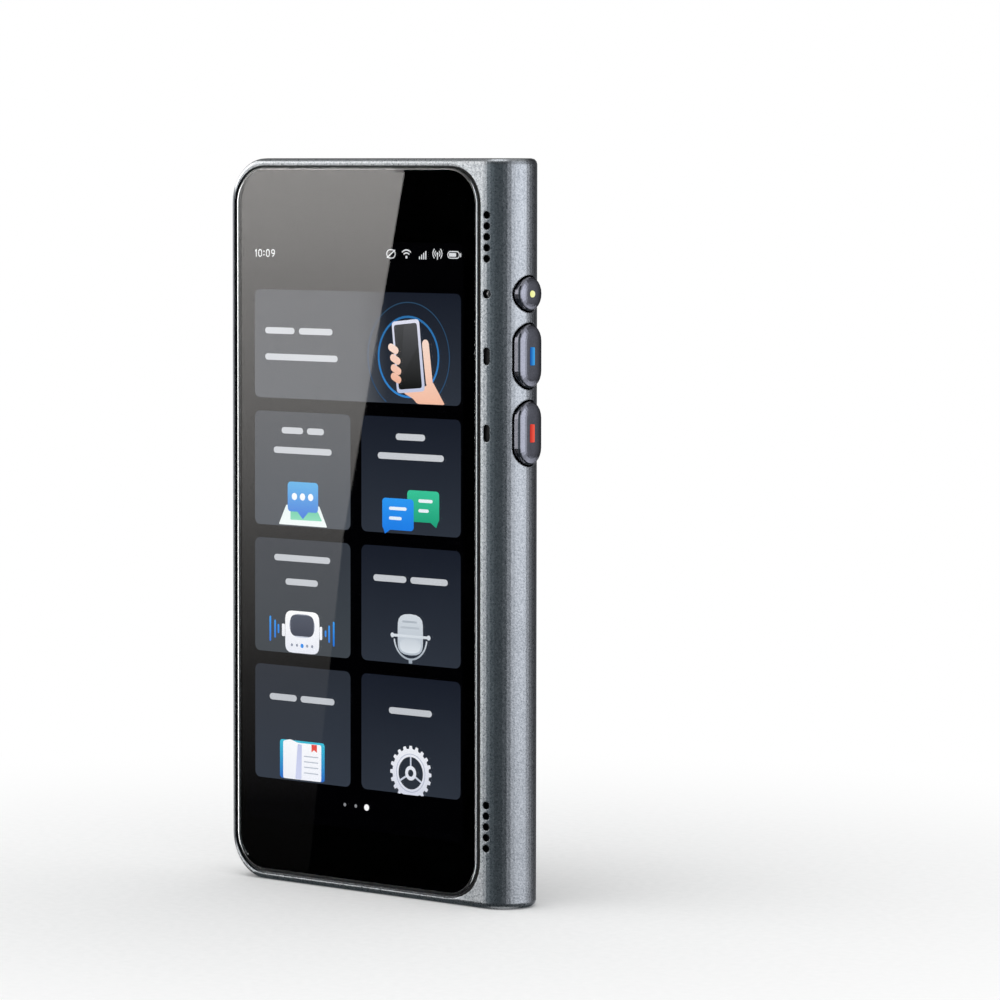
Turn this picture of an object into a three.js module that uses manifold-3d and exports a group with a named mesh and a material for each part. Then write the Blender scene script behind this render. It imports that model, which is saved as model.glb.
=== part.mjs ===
// A handheld translator: a slim device with a tall touch display on the front, an aluminium body whose
// one long side is a half-round spine with three lit keys, and a black band with the volume rocker and
// the SIM tray on the other long side. Millimetres, +Z up. The display faces -Y and the keys face +X.
import * as THREE from 'three';
import { mergeVertices } from 'three/addons/utils/BufferGeometryUtils.js';
import Module from 'manifold-3d';

const wasm = await Module();
wasm.setup();

// Driving dimensions of the body
const bodyHeight = 113;
const bodyWidth = 57.2;
const bodyDepth = 9.8;
const cornerRadius = 7;
const edgeFillet = 0.5;
const endFillet = 0.9;

// Clearances and other values that several pieces share
const fit = 0.05;
const seat = 0.1;
const slide = 0.25;
const seam = 0.3;
const overrun = 1;
const arcSteps = 6;
const outerSteps = 12;
const faceSteps = 5;
const leastRadiusShare = 0.1;
const cornerShare = 0.25;

// Walls of the main frame
const frame = {
  bandWall: 1.5,
  endWall: 2,
  spineWall: 1.5,
  keyFlat: 1.8,
};

const band = { thickness: 0.9, cornerLength: 7.3, lip: 0.35 };
const glass = {
  thickness: 0.7,
  sideMargin: 1.1,
  endMargin: 1.3,
  strip: 1.18,
  gap: 0.4,
  cornerRadius: 5.8,
  edgeRound: 0.45,
};
const cover = { thickness: 1, sideMargin: 1.8, endMargin: 1.3, cornerRadius: 5.2, groove: 0.25, chamfer: 0.2 };
const display = {
  ledge: 1,
  cellThickness: 0.8,
  lightThickness: 0.7,
  bottomBezel: 5.9,
  topBezel: 10.7,
  lightInset: 0.4,
  cornerRadius: 0.6,
};
const plate = { thickness: 0.5, cornerRadius: 4, postRadius: 1.5 };
const board = { thickness: 0.8, cornerRadius: 0.8, mainHeight: 44, subTop: 20 };

// The tray of the SIM card and the sheet-metal socket round it
const tray = {
  fromTop: 38.5,
  doorLength: 13.1,
  doorWidth: 1.85,
  plateLength: 16,
  plateWidth: 11.2,
  plateThickness: 0.9,
  plateShift: 0.75,
  pinRadius: 0.4,
  pinInset: 0.95,
  doorGap: 0.15,
  cardLength: 12.3,
  cardWidth: 8.8,
  cardThickness: 0.67,
  cardCorner: 1.65,
};
const socket = { clearance: 0.1, wall: 0.15 };

// Keys on the spine, from the top down
const keys = {
  powerBelowHoles: 5.28,
  width: 5.2,
  length: 9.65,
  wall: 1.42,
  proud: 0.6,
  edge: 0.45,
  crown: 0.2,
  travel: 0.35,
  tab: 0.5,
  tabThickness: 0.5,
  nubRadius: 0.6,
  nubLength: 0.3,
  powerLight: 1,
  lightWidth: 0.9,
  lightLength: 2.7,
  lightCorner: 0.15,
  lightProud: 0.1,
};

// Levels of the stack, from the front face to the back face
const front = -bodyDepth / 2;
const back = bodyDepth / 2;
const left = -bodyWidth / 2;
const right = bodyWidth / 2;
const glassSeat = front + glass.thickness + seat;
const coverSeat = back - cover.thickness - seat;
const cellFront = glassSeat;
const cellBack = cellFront + display.cellThickness;
const lightFront = cellBack + seat;
const lightBack = lightFront + display.lightThickness;
const plateFront = lightBack + seat;
const plateBack = plateFront + plate.thickness;
const boardFront = plateBack + seat + tray.plateThickness + (socket.clearance + socket.wall) * 2;
const boardBack = boardFront + board.thickness;
const sideKeyLevel = (plateBack + boardFront) / 2;

// Places across the width
const spineAxis = right - bodyDepth / 2;
const keyWallInside = spineAxis + frame.keyFlat;
const glassLeft = left + glass.sideMargin;
const glassRight = spineAxis - glass.strip;
const coverLeft = left + cover.sideMargin;
const coverRight = spineAxis;
const wallOutside = left + band.thickness;
const wallInside = wallOutside + frame.bandWall;
const spineCavityLeft = glassRight;
const cavityRight = spineCavityLeft + seat;

// Holes in the strip between the glass and the spine
const strip = { wall: 0.74, holeRadius: 0.6, pitch: 1.63, count: 5, topFromTop: 8.5, bottomFromBottom: 9.2 };
const slot = { width: 1.1, length: 2.65, border: 0.55, bodyThickness: 0.5, recess: 0.35 };
const sensor = { radius: 0.65, flange: 0.35, flangeThickness: 0.4, dome: 0.2 };
const mesh = { thickness: 0.2, border: 0.35 };
const holeColumn = glassRight + glass.gap + strip.wall + strip.holeRadius;
const spineFront = front + frame.spineWall;
const spineBack = back - frame.spineWall;

// Places up the height
const floorLevel = frame.endWall;
const ceilingLevel = bodyHeight - frame.endWall;
const holeLevels = (first, direction) => (
  Array.from({ length: strip.count }, (_, index) => first + direction * index * strip.pitch));
const topHoles = holeLevels(bodyHeight - strip.topFromTop, -1);
const bottomHoles = holeLevels(strip.bottomFromBottom, 1);
const keyPocketWidth = keys.width + slide * 2;
const keyPocketLength = keys.length + slide * 2;
const powerLevel = topHoles.at(-1) - keys.powerBelowHoles;
const blueLevel = powerLevel - keyPocketWidth / 2 - keys.wall - keyPocketLength / 2;
const redLevel = blueLevel - keyPocketLength - keys.wall;

const rocker = {
  fromTop: 20.7,
  length: 16.1,
  width: 1.7,
  proud: 0.3,
  edge: 0.3,
  notch: 0.3,
  play: 0.25,
  postOffset: 5,
  postRadius: 0.5,
  postReach: 0.1,
};
const rockerLevel = bodyHeight - rocker.fromTop;
const trayLevel = bodyHeight - tray.fromTop;
const port = { width: 8.94, height: 3.2, corner: 1.45, depth: 7.3, wall: 0.25, sunk: 0.2 };
const tongue = { width: 6.7, thickness: 0.7, rootDepth: 1.2, mouthGap: 1.1 };
const wing = { reach: 1.1, thickness: 0.3, length: 1.6 };
const lens = {
  fromTop: 10.67,
  ringRadius: 4.55,
  shankRadius: 4.1,
  glassRadius: 3.75,
  glassThickness: 0.45,
  shoulder: 0.5,
  rim: 0.35,
  chamfer: 0.12,
  sunk: 0.5,
};
const lensLevel = bodyHeight - lens.fromTop;
const camera = { baseWidth: 8.5, baseCorner: 0.6, barrelRadius: 2.8, frontRadius: 1.5, frontHeight: 0.4 };
const flash = {
  fromTop: 18.1,
  radius: 1.9,
  flange: 0.45,
  flangeThickness: 0.3,
  dome: 0.35,
  ledWidth: 2.2,
  ledCorner: 0.2,
};
const flashLevel = bodyHeight - flash.fromTop;
const screw = {
  headRadius: 1.2,
  headThickness: 0.5,
  shankRadius: 0.65,
  driveRadius: 0.55,
  driveDepth: 0.25,
  boardBite: 1.1,
  sides: 12,
};
const tact = { width: 3, length: 2, height: 0.55, corner: 0.2, plungerRadius: 0.6, plungerHeight: 0.25 };
const keyBoard = { thickness: 0.4, end: 0.8, ledWidth: 0.9, ledLength: 0.8, ledHeight: 0.35, corner: 0.3 };
const bracket = { thickness: 0.3, foot: 3, switchGap: 1.25 };
const sideSwitch = { width: 1.2, length: 3, height: 0.45, corner: 0.2, plungerRadius: 0.4, plungerHeight: 0.2 };
const speaker = { width: 9.5, snoutEnd: 0.35, boxEnd: 2, corner: 0.8, portDepth: 0.5, backGap: 0.2 };
const motor = { radius: 4, height: 2.7, boss: 0.8, bossHeight: 0.2 };
const antennaBlock = { width: 14, height: 2.6, depth: 3.3, corner: 0.5, screwGap: 1.675 };
const shield = { height: 1.6, wall: 0.2, corner: 0.8, margin: 2, plugRoom: 6 };
const chip = { width: 12, height: 1.1, corner: 0.4 };
const cell = { corner: 0.9, capHeight: 2.5, capInset: 0.8, flexRoom: 0.5 };
const flex = {
  thickness: 0.15,
  width: 6,
  plugHeight: 0.4,
  plugLength: 3,
  bend: 0.45,
  sideOffset: 8,
  landing: 2,
};

// The row of parts behind a key: tab, nub, switch and key board
const keyTabOutside = keyWallInside - seat;
const keyTabInside = keyTabOutside - keys.tabThickness;
const keyNubEnd = keyTabInside - keys.nubLength;
const tactFoot = keyNubEnd - keys.travel - seat - tact.plungerHeight - tact.height;
const keyBoardRight = tactFoot - fit;
const keyBoardLeft = keyBoardRight - keyBoard.thickness;

// The same row behind the volume rocker: post, switch and bracket
const rockerRear = wallOutside - rocker.play;
const sideSwitchBack = wallInside + rocker.postReach + seat * 2 + sideSwitch.plungerHeight + sideSwitch.height;
const strapStart = sideSwitchBack + fit;
const strapEnd = strapStart + bracket.thickness;

// Places behind the display
const coverInside = back - cover.thickness;
const onPlate = plateBack + seat;
const onBoard = boardBack + fit;
const boardLeft = strapEnd + slide;
const bracketRight = keyBoardLeft - seat;
const boardRight = bracketRight - bracket.thickness - slide;
const mainTop = ceilingLevel - antennaBlock.height - slide * 2;
const mainBottom = mainTop - board.mainHeight;
const upperSpeakerLevel = (topHoles[0] + topHoles.at(-1)) / 2;
const mainSpeakerLevel = (bottomHoles[0] + bottomHoles.at(-1)) / 2;
const snoutHalf = (topHoles[0] - topHoles.at(-1)) / 2 + strip.holeRadius + speaker.snoutEnd;
const speakerHalf = snoutHalf + speaker.boxEnd;
const speakerRight = cavityRight - slide;
const speakerLeft = speakerRight - speaker.width;
const packBottom = board.subTop + flex.bend * 3;
const packTop = mainBottom - flex.bend * 3;
const packBack = coverInside - cell.flexRoom;

// How an outline's point [u, v] lies in space where w runs along the named axis.
const onAxis = {
  x: ([u, v], w) => [w, u, v],
  y: ([u, v], w) => [u, w, v],
  z: ([u, v], w) => [u, v, w],
};

// A closed body through copies of one convex outline. Each level is [place on the axis, inset].
function loft(axis, outline, levels) {
  const ordered = axis === 'y' ? levels.toReversed() : levels;
  const rings = ordered.map(([place, inset]) => outline(inset).map((point) => onAxis[axis](point, place)));
  const count = rings[0].length;
  const last = (rings.length - 1) * count;
  const indices = [];
  for (let ring = 0; ring + 1 < rings.length; ring += 1) {
    for (let step = 0; step < count; step += 1) {
      const here = ring * count + step;
      const next = ring * count + ((step + 1) % count);
      indices.push(here, next, next + count, here, next + count, here + count);
    }
  }
  for (let step = 1; step + 1 < count; step += 1) {
    indices.push(0, step + 1, step, last, last + step, last + step + 1);
  }
  const geometry = new THREE.BufferGeometry();
  geometry.setAttribute('position', new THREE.Float32BufferAttribute(rings.flat(2), 3));
  geometry.setIndex(indices);
  return geometry;
}

const prism = (axis, outline, low, high) => loft(axis, outline, [[low, 0], [high, 0]]);

// A cut along the depth that runs clear of both faces.
const through = (outline, low, high) => prism('y', outline, low - overrun, high + overrun);

// A rectangle with its own radius at the lower left, lower right, upper right and upper left.
function roundedBox(low, high, radii, steps = arcSteps) {
  const corners = [
    [low[0], low[1], 1, 1, Math.PI],
    [high[0], low[1], -1, 1, Math.PI * 1.5],
    [high[0], high[1], -1, -1, 0],
    [low[0], high[1], 1, -1, Math.PI / 2],
  ];
  return (inset) => corners.flatMap(([u, v, signU, signV, start], corner) => {
    const radius = Math.max(radii[corner] - inset, radii[corner] * leastRadiusShare);
    return Array.from({ length: steps + 1 }, (_, step) => {
      const angle = start + (step / steps) * (Math.PI / 2);
      return [
        u + signU * (radius + inset) + radius * Math.cos(angle),
        v + signV * (radius + inset) + radius * Math.sin(angle),
      ];
    });
  });
}

// A rectangle by its middle and size, with one radius.
function block(middle, size, radius, steps = 2) {
  const low = middle.map((place, axis) => place - size[axis] / 2);
  const high = middle.map((place, axis) => place + size[axis] / 2);
  return roundedBox(low, high, Array(4).fill(radius), steps);
}

// A slot outline with round ends, standing along v.
function stadium(middle, width, length, steps = arcSteps) {
  const radius = width / 2;
  const rise = (length - width) / 2;
  return (inset) => [1, -1].flatMap((end) => Array.from({ length: steps * 2 + 1 }, (_, step) => {
    const angle = (end > 0 ? 0 : Math.PI) + (step / (steps * 2)) * Math.PI;
    return [
      middle[0] + (radius - inset) * Math.cos(angle),
      middle[1] + end * rise + (radius - inset) * Math.sin(angle),
    ];
  }));
}

function circle(middle, radius, sides = screw.sides) {
  return (inset) => Array.from({ length: sides }, (_, side) => {
    const angle = (side / sides) * Math.PI * 2;
    return [
      middle[0] + (radius - inset) * Math.cos(angle),
      middle[1] + (radius - inset) * Math.sin(angle),
    ];
  });
}

// Levels of a straight run whose ends are rounded by a quarter circle.
function filletLevels(low, high, lowFillet, highFillet, steps = 3) {
  const quarter = Array.from({ length: steps + 1 }, (_, step) => (step / steps) * (Math.PI / 2));
  const arc = (fillet) => quarter.map((angle) => (
    [fillet * (1 - Math.cos(angle)), fillet * (1 - Math.sin(angle))]));
  const rise = lowFillet ? arc(lowFillet) : [[0, 0]];
  const fall = highFillet ? arc(highFillet).toReversed() : [[0, 0]];
  return [
    ...rise.map(([along, inset]) => [low + along, inset]),
    ...fall.map(([along, inset]) => [high - along, inset]),
  ];
}

// A body of revolution about y, from a closed profile of [radius, y].
function turned(profile, sides = arcSteps * 4) {
  return new THREE.LatheGeometry(profile.map(([radius, y]) => new THREE.Vector2(radius, y)), sides);
}

function solidOf(geometry) {
  const bare = geometry.clone();
  bare.deleteAttribute('normal');
  bare.deleteAttribute('uv');
  const merged = mergeVertices(bare);
  return new wasm.Manifold(new wasm.Mesh({
    numProp: 3,
    vertProperties: merged.attributes.position.array,
    triVerts: new Uint32Array(merged.index.array),
  }));
}

function geometryOf(solid) {
  const body = solid.getMesh();
  const geometry = new THREE.BufferGeometry();
  geometry.setAttribute('position', new THREE.BufferAttribute(body.vertProperties, 3));
  geometry.setIndex(new THREE.BufferAttribute(body.triVerts, 1));
  return geometry;
}

// Joins the bodies and cuts the second list out of them.
function carve(bodies, cuts = []) {
  const whole = bodies.map(solidOf).reduce((sum, body) => sum.add(body));
  return geometryOf(cuts.map(solidOf).reduce((rest, cut) => rest.subtract(cut), whole));
}

const materials = {
  aluminium: { color: 0x7c848b, metalness: 1, roughness: 0.45 },
  blackPlastic: { color: 0x26292a, metalness: 0, roughness: 0.5 },
  coverGlass: { color: 0x050507, metalness: 0, roughness: 0.05 },
  display: { color: 0x1a1f2a, metalness: 0, roughness: 0.3 },
  steel: { color: 0xb4b8bb, metalness: 1, roughness: 0.35 },
  keyMetal: { color: 0x57565f, metalness: 1, roughness: 0.3 },
  circuitBoard: { color: 0x14402c, metalness: 0, roughness: 0.6 },
  moulding: { color: 0x1b1b1d, metalness: 0, roughness: 0.5 },
  pouch: { color: 0x2e3236, metalness: 0, roughness: 0.6 },
  flexFilm: { color: 0xa4632a, metalness: 0, roughness: 0.5 },
  lensGlass: { color: 0x101216, metalness: 0, roughness: 0.05 },
  diffuser: { color: 0xe8e6dc, metalness: 0, roughness: 0.3 },
  yellowLight: { color: 0xd8e86a, metalness: 0, roughness: 0.3 },
  blueLight: { color: 0x2f8fe0, metalness: 0, roughness: 0.3 },
  redLight: { color: 0xe0402c, metalness: 0, roughness: 0.3 },
};

// The device stands on its bottom end, with its origin below the middle of all that sticks out.
const device = new THREE.Group();
device.position.set((rocker.proud - keys.proud - keys.lightProud) / 2, -lens.rim / 2, 0);

function group() {
  const holder = new THREE.Group();
  device.add(holder);
  return holder;
}

function add(parent, name, geometry, material, place = [0, 0, 0]) {
  const finish = new THREE.MeshStandardMaterial({ ...materials[material], flatShading: true });
  const piece = new THREE.Mesh(geometry, finish);
  piece.name = name;
  piece.position.set(...place);
  parent.add(piece);
  return piece;
}

// Outlines that the frame and its neighbours share

const glassOutline = (gap) => roundedBox(
  [glassLeft - gap, glass.endMargin - gap],
  [glassRight + gap, bodyHeight - glass.endMargin + gap],
  Array(4).fill(glass.cornerRadius + gap),
  outerSteps,
);
const coverOutline = (gap) => roundedBox(
  [coverLeft - gap, cover.endMargin - gap],
  [coverRight + gap, bodyHeight - cover.endMargin + gap],
  Array(4).fill(cover.cornerRadius + gap),
  outerSteps,
);
const cellLeft = glassLeft + display.ledge + seam;
const cellRight = glassRight - display.ledge - seam;
const cellBottom = glass.endMargin + display.bottomBezel;
const cellTop = bodyHeight - glass.endMargin - display.topBezel;
const displayOutline = (gap) => roundedBox(
  [cellLeft - gap, cellBottom - gap],
  [cellRight + gap, cellTop + gap],
  Array(4).fill(display.cornerRadius + gap),
  2,
);
const cavityOutline = (gap) => roundedBox(
  [wallInside + gap, floorLevel + gap],
  [cavityRight - gap, ceilingLevel - gap],
  [plate.cornerRadius, display.cornerRadius, display.cornerRadius, plate.cornerRadius],
  3,
);
const slabOutline = roundedBox(
  [left, 0],
  [right + cornerRadius, bodyHeight],
  [cornerRadius, endFillet, endFillet, cornerRadius],
  outerSteps,
);
const doorOutline = (gap) => stadium(
  [sideKeyLevel, trayLevel],
  tray.doorWidth + gap * 2,
  tray.doorLength + gap * 2,
  3,
);
const rockerOutline = (gap) => stadium(
  [sideKeyLevel, rockerLevel],
  rocker.width + gap * 2,
  rocker.length + gap * 2,
  3,
);
const trayPlateLevel = trayLevel + tray.plateShift;
const trayPlateOutline = (gap) => block(
  [sideKeyLevel, trayPlateLevel],
  [tray.plateThickness + gap * 2, tray.plateWidth + gap * 2],
  tray.plateThickness * cornerShare,
  1,
);
const pinLevel = trayLevel - tray.doorLength / 2 + tray.pinInset;
const pinOutline = circle([sideKeyLevel, pinLevel], tray.pinRadius);
const portOutline = (gap) => block(
  [0, 0],
  [port.width + gap * 2, port.height + gap * 2],
  port.corner + gap,
  3,
);
const postLevels = [rockerLevel + rocker.postOffset, rockerLevel - rocker.postOffset];

// Where the midframe is screwed to the top and bottom ledges of the frame
const ledgeSides = [wallInside + plate.cornerRadius, cavityRight - plate.cornerRadius];
const ledgeLevels = [ceilingLevel - screw.headRadius - seam, floorLevel + screw.headRadius + seam];
const ledgeScrews = ledgeLevels.flatMap((level) => ledgeSides.map((side) => [side, level]));
const ledgeBite = plateFront - glassSeat - seam;
const screwHole = (place) => circle(place, screw.shankRadius + seat);

// The keys, with what lights them and where the switch sits below the light
const keySet = [
  { name: 'power', level: powerLevel, length: keys.width, light: [keys.powerLight, keys.powerLight] },
  { name: 'blue', level: blueLevel, length: keys.length, light: [keys.lightWidth, keys.lightLength] },
  { name: 'red', level: redLevel, length: keys.length, light: [keys.lightWidth, keys.lightLength] },
];
for (const key of keySet) {
  key.switchLevel = key.level - (key.light[1] / 2 + key.length / 2) / 2;
}

// A round key is a circle with a round lamp, and a long one has round ends and a bar.
function keyOutline(key, gap) {
  if (key.length === keys.width) return circle([0, key.level], keys.width / 2 + gap, arcSteps * 4);
  return stadium([0, key.level], keys.width + gap * 2, key.length + gap * 2);
}

function lightOutline(key, level, gap) {
  const [width, length] = key.light.map((size) => size + gap * 2);
  if (width === length) return circle([0, level], width / 2, arcSteps * 4);
  return block([0, level], [width, length], keys.lightCorner + gap);
}

// Housing

// The half-round side as an outline seen from above.
function spineOutline(inset) {
  const radius = bodyDepth / 2 - inset;
  const half = Array.from({ length: arcSteps * 4 + 1 }, (_, step) => {
    const angle = (step / (arcSteps * 4) - 1 / 2) * Math.PI;
    return [spineAxis + radius * Math.cos(angle), radius * Math.sin(angle)];
  });
  return [[left - overrun, -radius], ...half, [left - overrun, radius]];
}

function bodyBlank() {
  const slab = solidOf(loft('y', slabOutline, filletLevels(front, back, edgeFillet, edgeFillet)));
  const spine = solidOf(loft('z', spineOutline, filletLevels(0, bodyHeight, endFillet, endFillet)));
  return geometryOf(slab.intersect(spine));
}

// The space of the band, which runs round the left corners and ends where they do.
function bandSpace(gap) {
  const depth = band.thickness + gap;
  const inner = roundedBox(
    [left + depth, depth],
    [right + cornerRadius, bodyHeight - depth],
    [cornerRadius - depth, endFillet, endFillet, cornerRadius - depth],
    outerSteps,
  );
  const low = glassSeat + band.lip - gap;
  const high = coverSeat + gap;
  const reach = block([left, bodyHeight / 2], [cornerRadius * 2, bodyHeight + cornerRadius], endFillet);
  return carve([prism('y', reach, low, high)], [through(inner, low, high)]);
}

function spineCavity() {
  const outline = roundedBox(
    [spineCavityLeft, spineFront],
    [keyWallInside, spineBack],
    Array(4).fill(seat),
    1,
  );
  return prism('z', outline, floorLevel, ceilingLevel);
}

function stripHoles() {
  const rounds = [...topHoles, ...bottomHoles].map((level) => circle([holeColumn, level], strip.holeRadius));
  const slots = [blueLevel, redLevel].map((level) => stadium([holeColumn, level], slot.width, slot.length, 3));
  const eye = circle([holeColumn, powerLevel], sensor.radius + fit);
  return [...rounds, ...slots, eye].map((outline) => prism('y', outline, front - overrun, spineFront + seat));
}

function sideHoles() {
  const posts = postLevels.map((level) => circle([sideKeyLevel, level], rocker.postRadius + slide));
  return [...posts, trayPlateOutline(slide / 2), pinOutline].map((outline) => (
    prism('x', outline, left, wallInside + overrun)));
}

function mainFrame() {
  return carve([bodyBlank()], [
    prism('y', glassOutline(glass.gap), front - overrun, glassSeat),
    through(displayOutline(seam), glassSeat, plateFront),
    prism('y', cavityOutline(0), plateFront - seat, back + overrun),
    spineCavity(),
    prism('y', coverOutline(cover.groove), coverSeat, back + overrun),
    bandSpace(fit),
    ...keySet.map((key) => prism('x', keyOutline(key, slide), keyWallInside - seat, right + overrun)),
    ...stripHoles(),
    ...sideHoles(),
    prism('z', portOutline(seat), -overrun, floorLevel + overrun),
    ...ledgeScrews.map((place) => prism('y', screwHole(place), plateFront - ledgeBite, plateFront)),
  ]);
}

// The black strip is three pieces that meet at the seams near the corners.
function bandPiece(low, high) {
  const reach = block([left, 0], [cornerRadius * 2 + overrun, bodyDepth], edgeFillet, 1);
  const space = solidOf(bandSpace(0)).intersect(solidOf(prism('z', reach, low, high)));
  const piece = geometryOf(solidOf(bodyBlank()).intersect(space));
  const slots = [rockerOutline(slide), doorOutline(tray.doorGap)];
  return carve([piece], slots.map((slit) => prism('x', slit, left - overrun, wallOutside + overrun)));
}

function backCover() {
  const sheet = loft('y', coverOutline(0), [
    [back - cover.thickness, 0],
    [back - cover.chamfer, 0],
    [back, cover.chamfer],
  ]);
  return carve([sheet], [
    through(circle([0, lensLevel], lens.shankRadius + seat, arcSteps * 4), coverSeat, back),
    through(circle([0, flashLevel], flash.radius + fit, arcSteps * 3), coverSeat, back),
  ]);
}

const housing = group();
add(housing, 'main_frame', mainFrame(), 'aluminium');
const lowSeam = band.cornerLength;
const highSeam = bodyHeight - band.cornerLength;
add(housing, 'side_band', bandPiece(lowSeam + fit, highSeam - fit), 'blackPlastic');
add(housing, 'band_corner_bottom', bandPiece(-overrun, lowSeam), 'blackPlastic');
add(housing, 'band_corner_top', bandPiece(highSeam, bodyHeight + overrun), 'blackPlastic');
add(housing, 'back_cover', backCover(), 'aluminium');

// Display

const screen = group();
const glassLevels = filletLevels(front, front + glass.thickness, glass.edgeRound, 0, faceSteps);
add(screen, 'cover_glass', loft('y', glassOutline(0), glassLevels), 'coverGlass');
add(screen, 'display_cell', prism('y', displayOutline(0), cellFront, cellBack), 'display');
add(screen, 'backlight', prism('y', displayOutline(-display.lightInset), lightFront, lightBack), 'diffuser');

// Boards and the midframe that carries them

const motorMiddle = [
  wallInside + motor.radius + slide * 2,
  ledgeLevels[1] + screw.headRadius + slide + motor.radius,
];
const subLeft = motorMiddle[0] + motor.radius + slide;
const subRight = speakerLeft - slide;
const subScrewLevel = (port.depth + board.subTop) / 2;
const boardScrews = [
  [-port.width, subScrewLevel],
  [(port.width / 2 + slide + subRight) / 2, subScrewLevel],
  [boardLeft / 2, flashLevel],
  [bracketRight - bracket.foot - plate.postRadius * 2, mainBottom + plate.postRadius * 2],
];
const subScrewCount = 2;
const flexSlot = block([0, subScrewLevel], [flex.width + slide * 2, flex.plugLength * 2], slide);

function midframe() {
  const sheet = prism('y', cavityOutline(slide), plateFront, plateBack);
  const posts = boardScrews.map((place) => (
    prism('y', circle(place, plate.postRadius), plateBack - seat, boardFront - fit)));
  const pilots = boardScrews.map((place) => (
    prism('y', screwHole(place), boardFront - screw.boardBite - seat, boardFront + overrun)));
  const holes = [...ledgeScrews.map(screwHole), flexSlot].map((hole) => through(hole, plateFront, plateBack));
  return carve([sheet, ...posts], [...pilots, ...holes]);
}

function mainBoard() {
  const corners = Array(4).fill(board.cornerRadius);
  const outline = roundedBox([boardLeft, mainBottom], [boardRight, mainTop], corners, 2);
  const speakerNotch = roundedBox(
    [speakerLeft - slide, upperSpeakerLevel - speakerHalf - slide],
    [boardRight + overrun * 2, mainTop + overrun * 2],
    corners,
    2,
  );
  const cameraHole = block([0, lensLevel], Array(2).fill(camera.baseWidth + slide * 2), camera.baseCorner);
  const screwHoles = boardScrews.slice(subScrewCount).map(screwHole);
  return carve(
    [prism('y', outline, boardFront, boardBack)],
    [speakerNotch, cameraHole, ...screwHoles].map((hole) => through(hole, boardFront, boardBack)),
  );
}

function subBoard() {
  const corners = Array(4).fill(board.cornerRadius);
  const outline = roundedBox([subLeft, floorLevel + slide], [subRight, board.subTop], corners, 2);
  const portNotch = roundedBox(
    [-port.width / 2 - slide, -overrun],
    [port.width / 2 + slide, port.sunk + port.depth + slide],
    corners,
    2,
  );
  const screwHoles = boardScrews.slice(0, subScrewCount).map(screwHole);
  return carve(
    [prism('y', outline, boardFront, boardBack)],
    [portNotch, ...screwHoles].map((hole) => through(hole, boardFront, boardBack)),
  );
}

// A lid that is open towards the board.
function shieldCan(width, length) {
  const outer = prism('y', block([0, 0], [width, length], shield.corner), 0, shield.height);
  const size = [width - shield.wall * 2, length - shield.wall * 2];
  const inside = block([0, 0], size, shield.corner - shield.wall);
  return carve([outer], [prism('y', inside, -overrun, shield.height - shield.wall)]);
}

const chassis = group();
add(chassis, 'midframe', midframe(), 'steel');
add(chassis, 'main_board', mainBoard(), 'circuitBoard');
add(chassis, 'sub_board', subBoard(), 'circuitBoard');

const shieldBottom = mainBottom + shield.plugRoom;
const shieldTop = flashLevel - flash.radius - flash.flange - shield.margin / 2;
const shieldLevel = (shieldBottom + shieldTop) / 2;
const shields = { processor_shield: boardLeft, radio_shield: boardRight };
for (const [name, edge] of Object.entries(shields)) {
  const can = shieldCan(Math.abs(edge) - shield.margin, shieldTop - shieldBottom);
  add(chassis, name, can, 'steel', [edge / 2, onBoard, shieldLevel]);
}
const chipOutline = block([0, 0], [chip.width, chip.width], chip.corner);
add(chassis, 'processor', prism('y', chipOutline, 0, chip.height), 'moulding', [
  boardLeft / 2,
  onBoard,
  shieldLevel,
]);

// Screws

function screwBody(grip) {
  const sunkHead = screw.headThickness - screw.driveDepth;
  return turned([
    [0, -grip],
    [screw.shankRadius, -grip],
    [screw.shankRadius, 0],
    [screw.headRadius, 0],
    [screw.headRadius, screw.headThickness],
    [screw.driveRadius, screw.headThickness],
    [screw.driveRadius, sunkHead],
    [0, sunkHead],
  ], screw.sides);
}
const screws = group();
ledgeScrews.forEach(([x, z], index) => {
  const grip = plate.thickness + ledgeBite - seat;
  add(screws, `frame_screw_${index + 1}`, screwBody(grip), 'steel', [x, plateBack + fit, z]);
});
boardScrews.forEach(([x, z], index) => {
  const grip = board.thickness + screw.boardBite;
  add(screws, `board_screw_${index + 1}`, screwBody(grip), 'steel', [x, onBoard, z]);
});

// Camera and flash at the back

function cameraRing() {
  const windowBack = back + lens.rim - lens.sunk - lens.glassThickness;
  const bore = lens.glassRadius + fit;
  const rimTop = back + lens.rim;
  return turned([
    [bore - lens.shoulder, coverInside],
    [lens.shankRadius, coverInside],
    [lens.shankRadius, back + fit],
    [lens.ringRadius, back + fit],
    [lens.ringRadius, rimTop - lens.chamfer],
    [lens.ringRadius - lens.chamfer, rimTop],
    [bore, rimTop],
    [bore, windowBack - fit],
    [bore - lens.shoulder, windowBack - fit],
    [bore - lens.shoulder, coverInside],
  ]);
}

function cameraModule() {
  const base = block([0, 0], [camera.baseWidth, camera.baseWidth], camera.baseCorner);
  const barrelEnd = coverInside - seat - camera.frontHeight;
  return carve([
    prism('y', base, onPlate, boardBack),
    prism('y', circle([0, 0], camera.barrelRadius, arcSteps * 3), boardBack - seat, barrelEnd),
    prism('y', circle([0, 0], camera.frontRadius, arcSteps * 2), barrelEnd - seat, coverInside - seat),
  ]);
}

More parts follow.
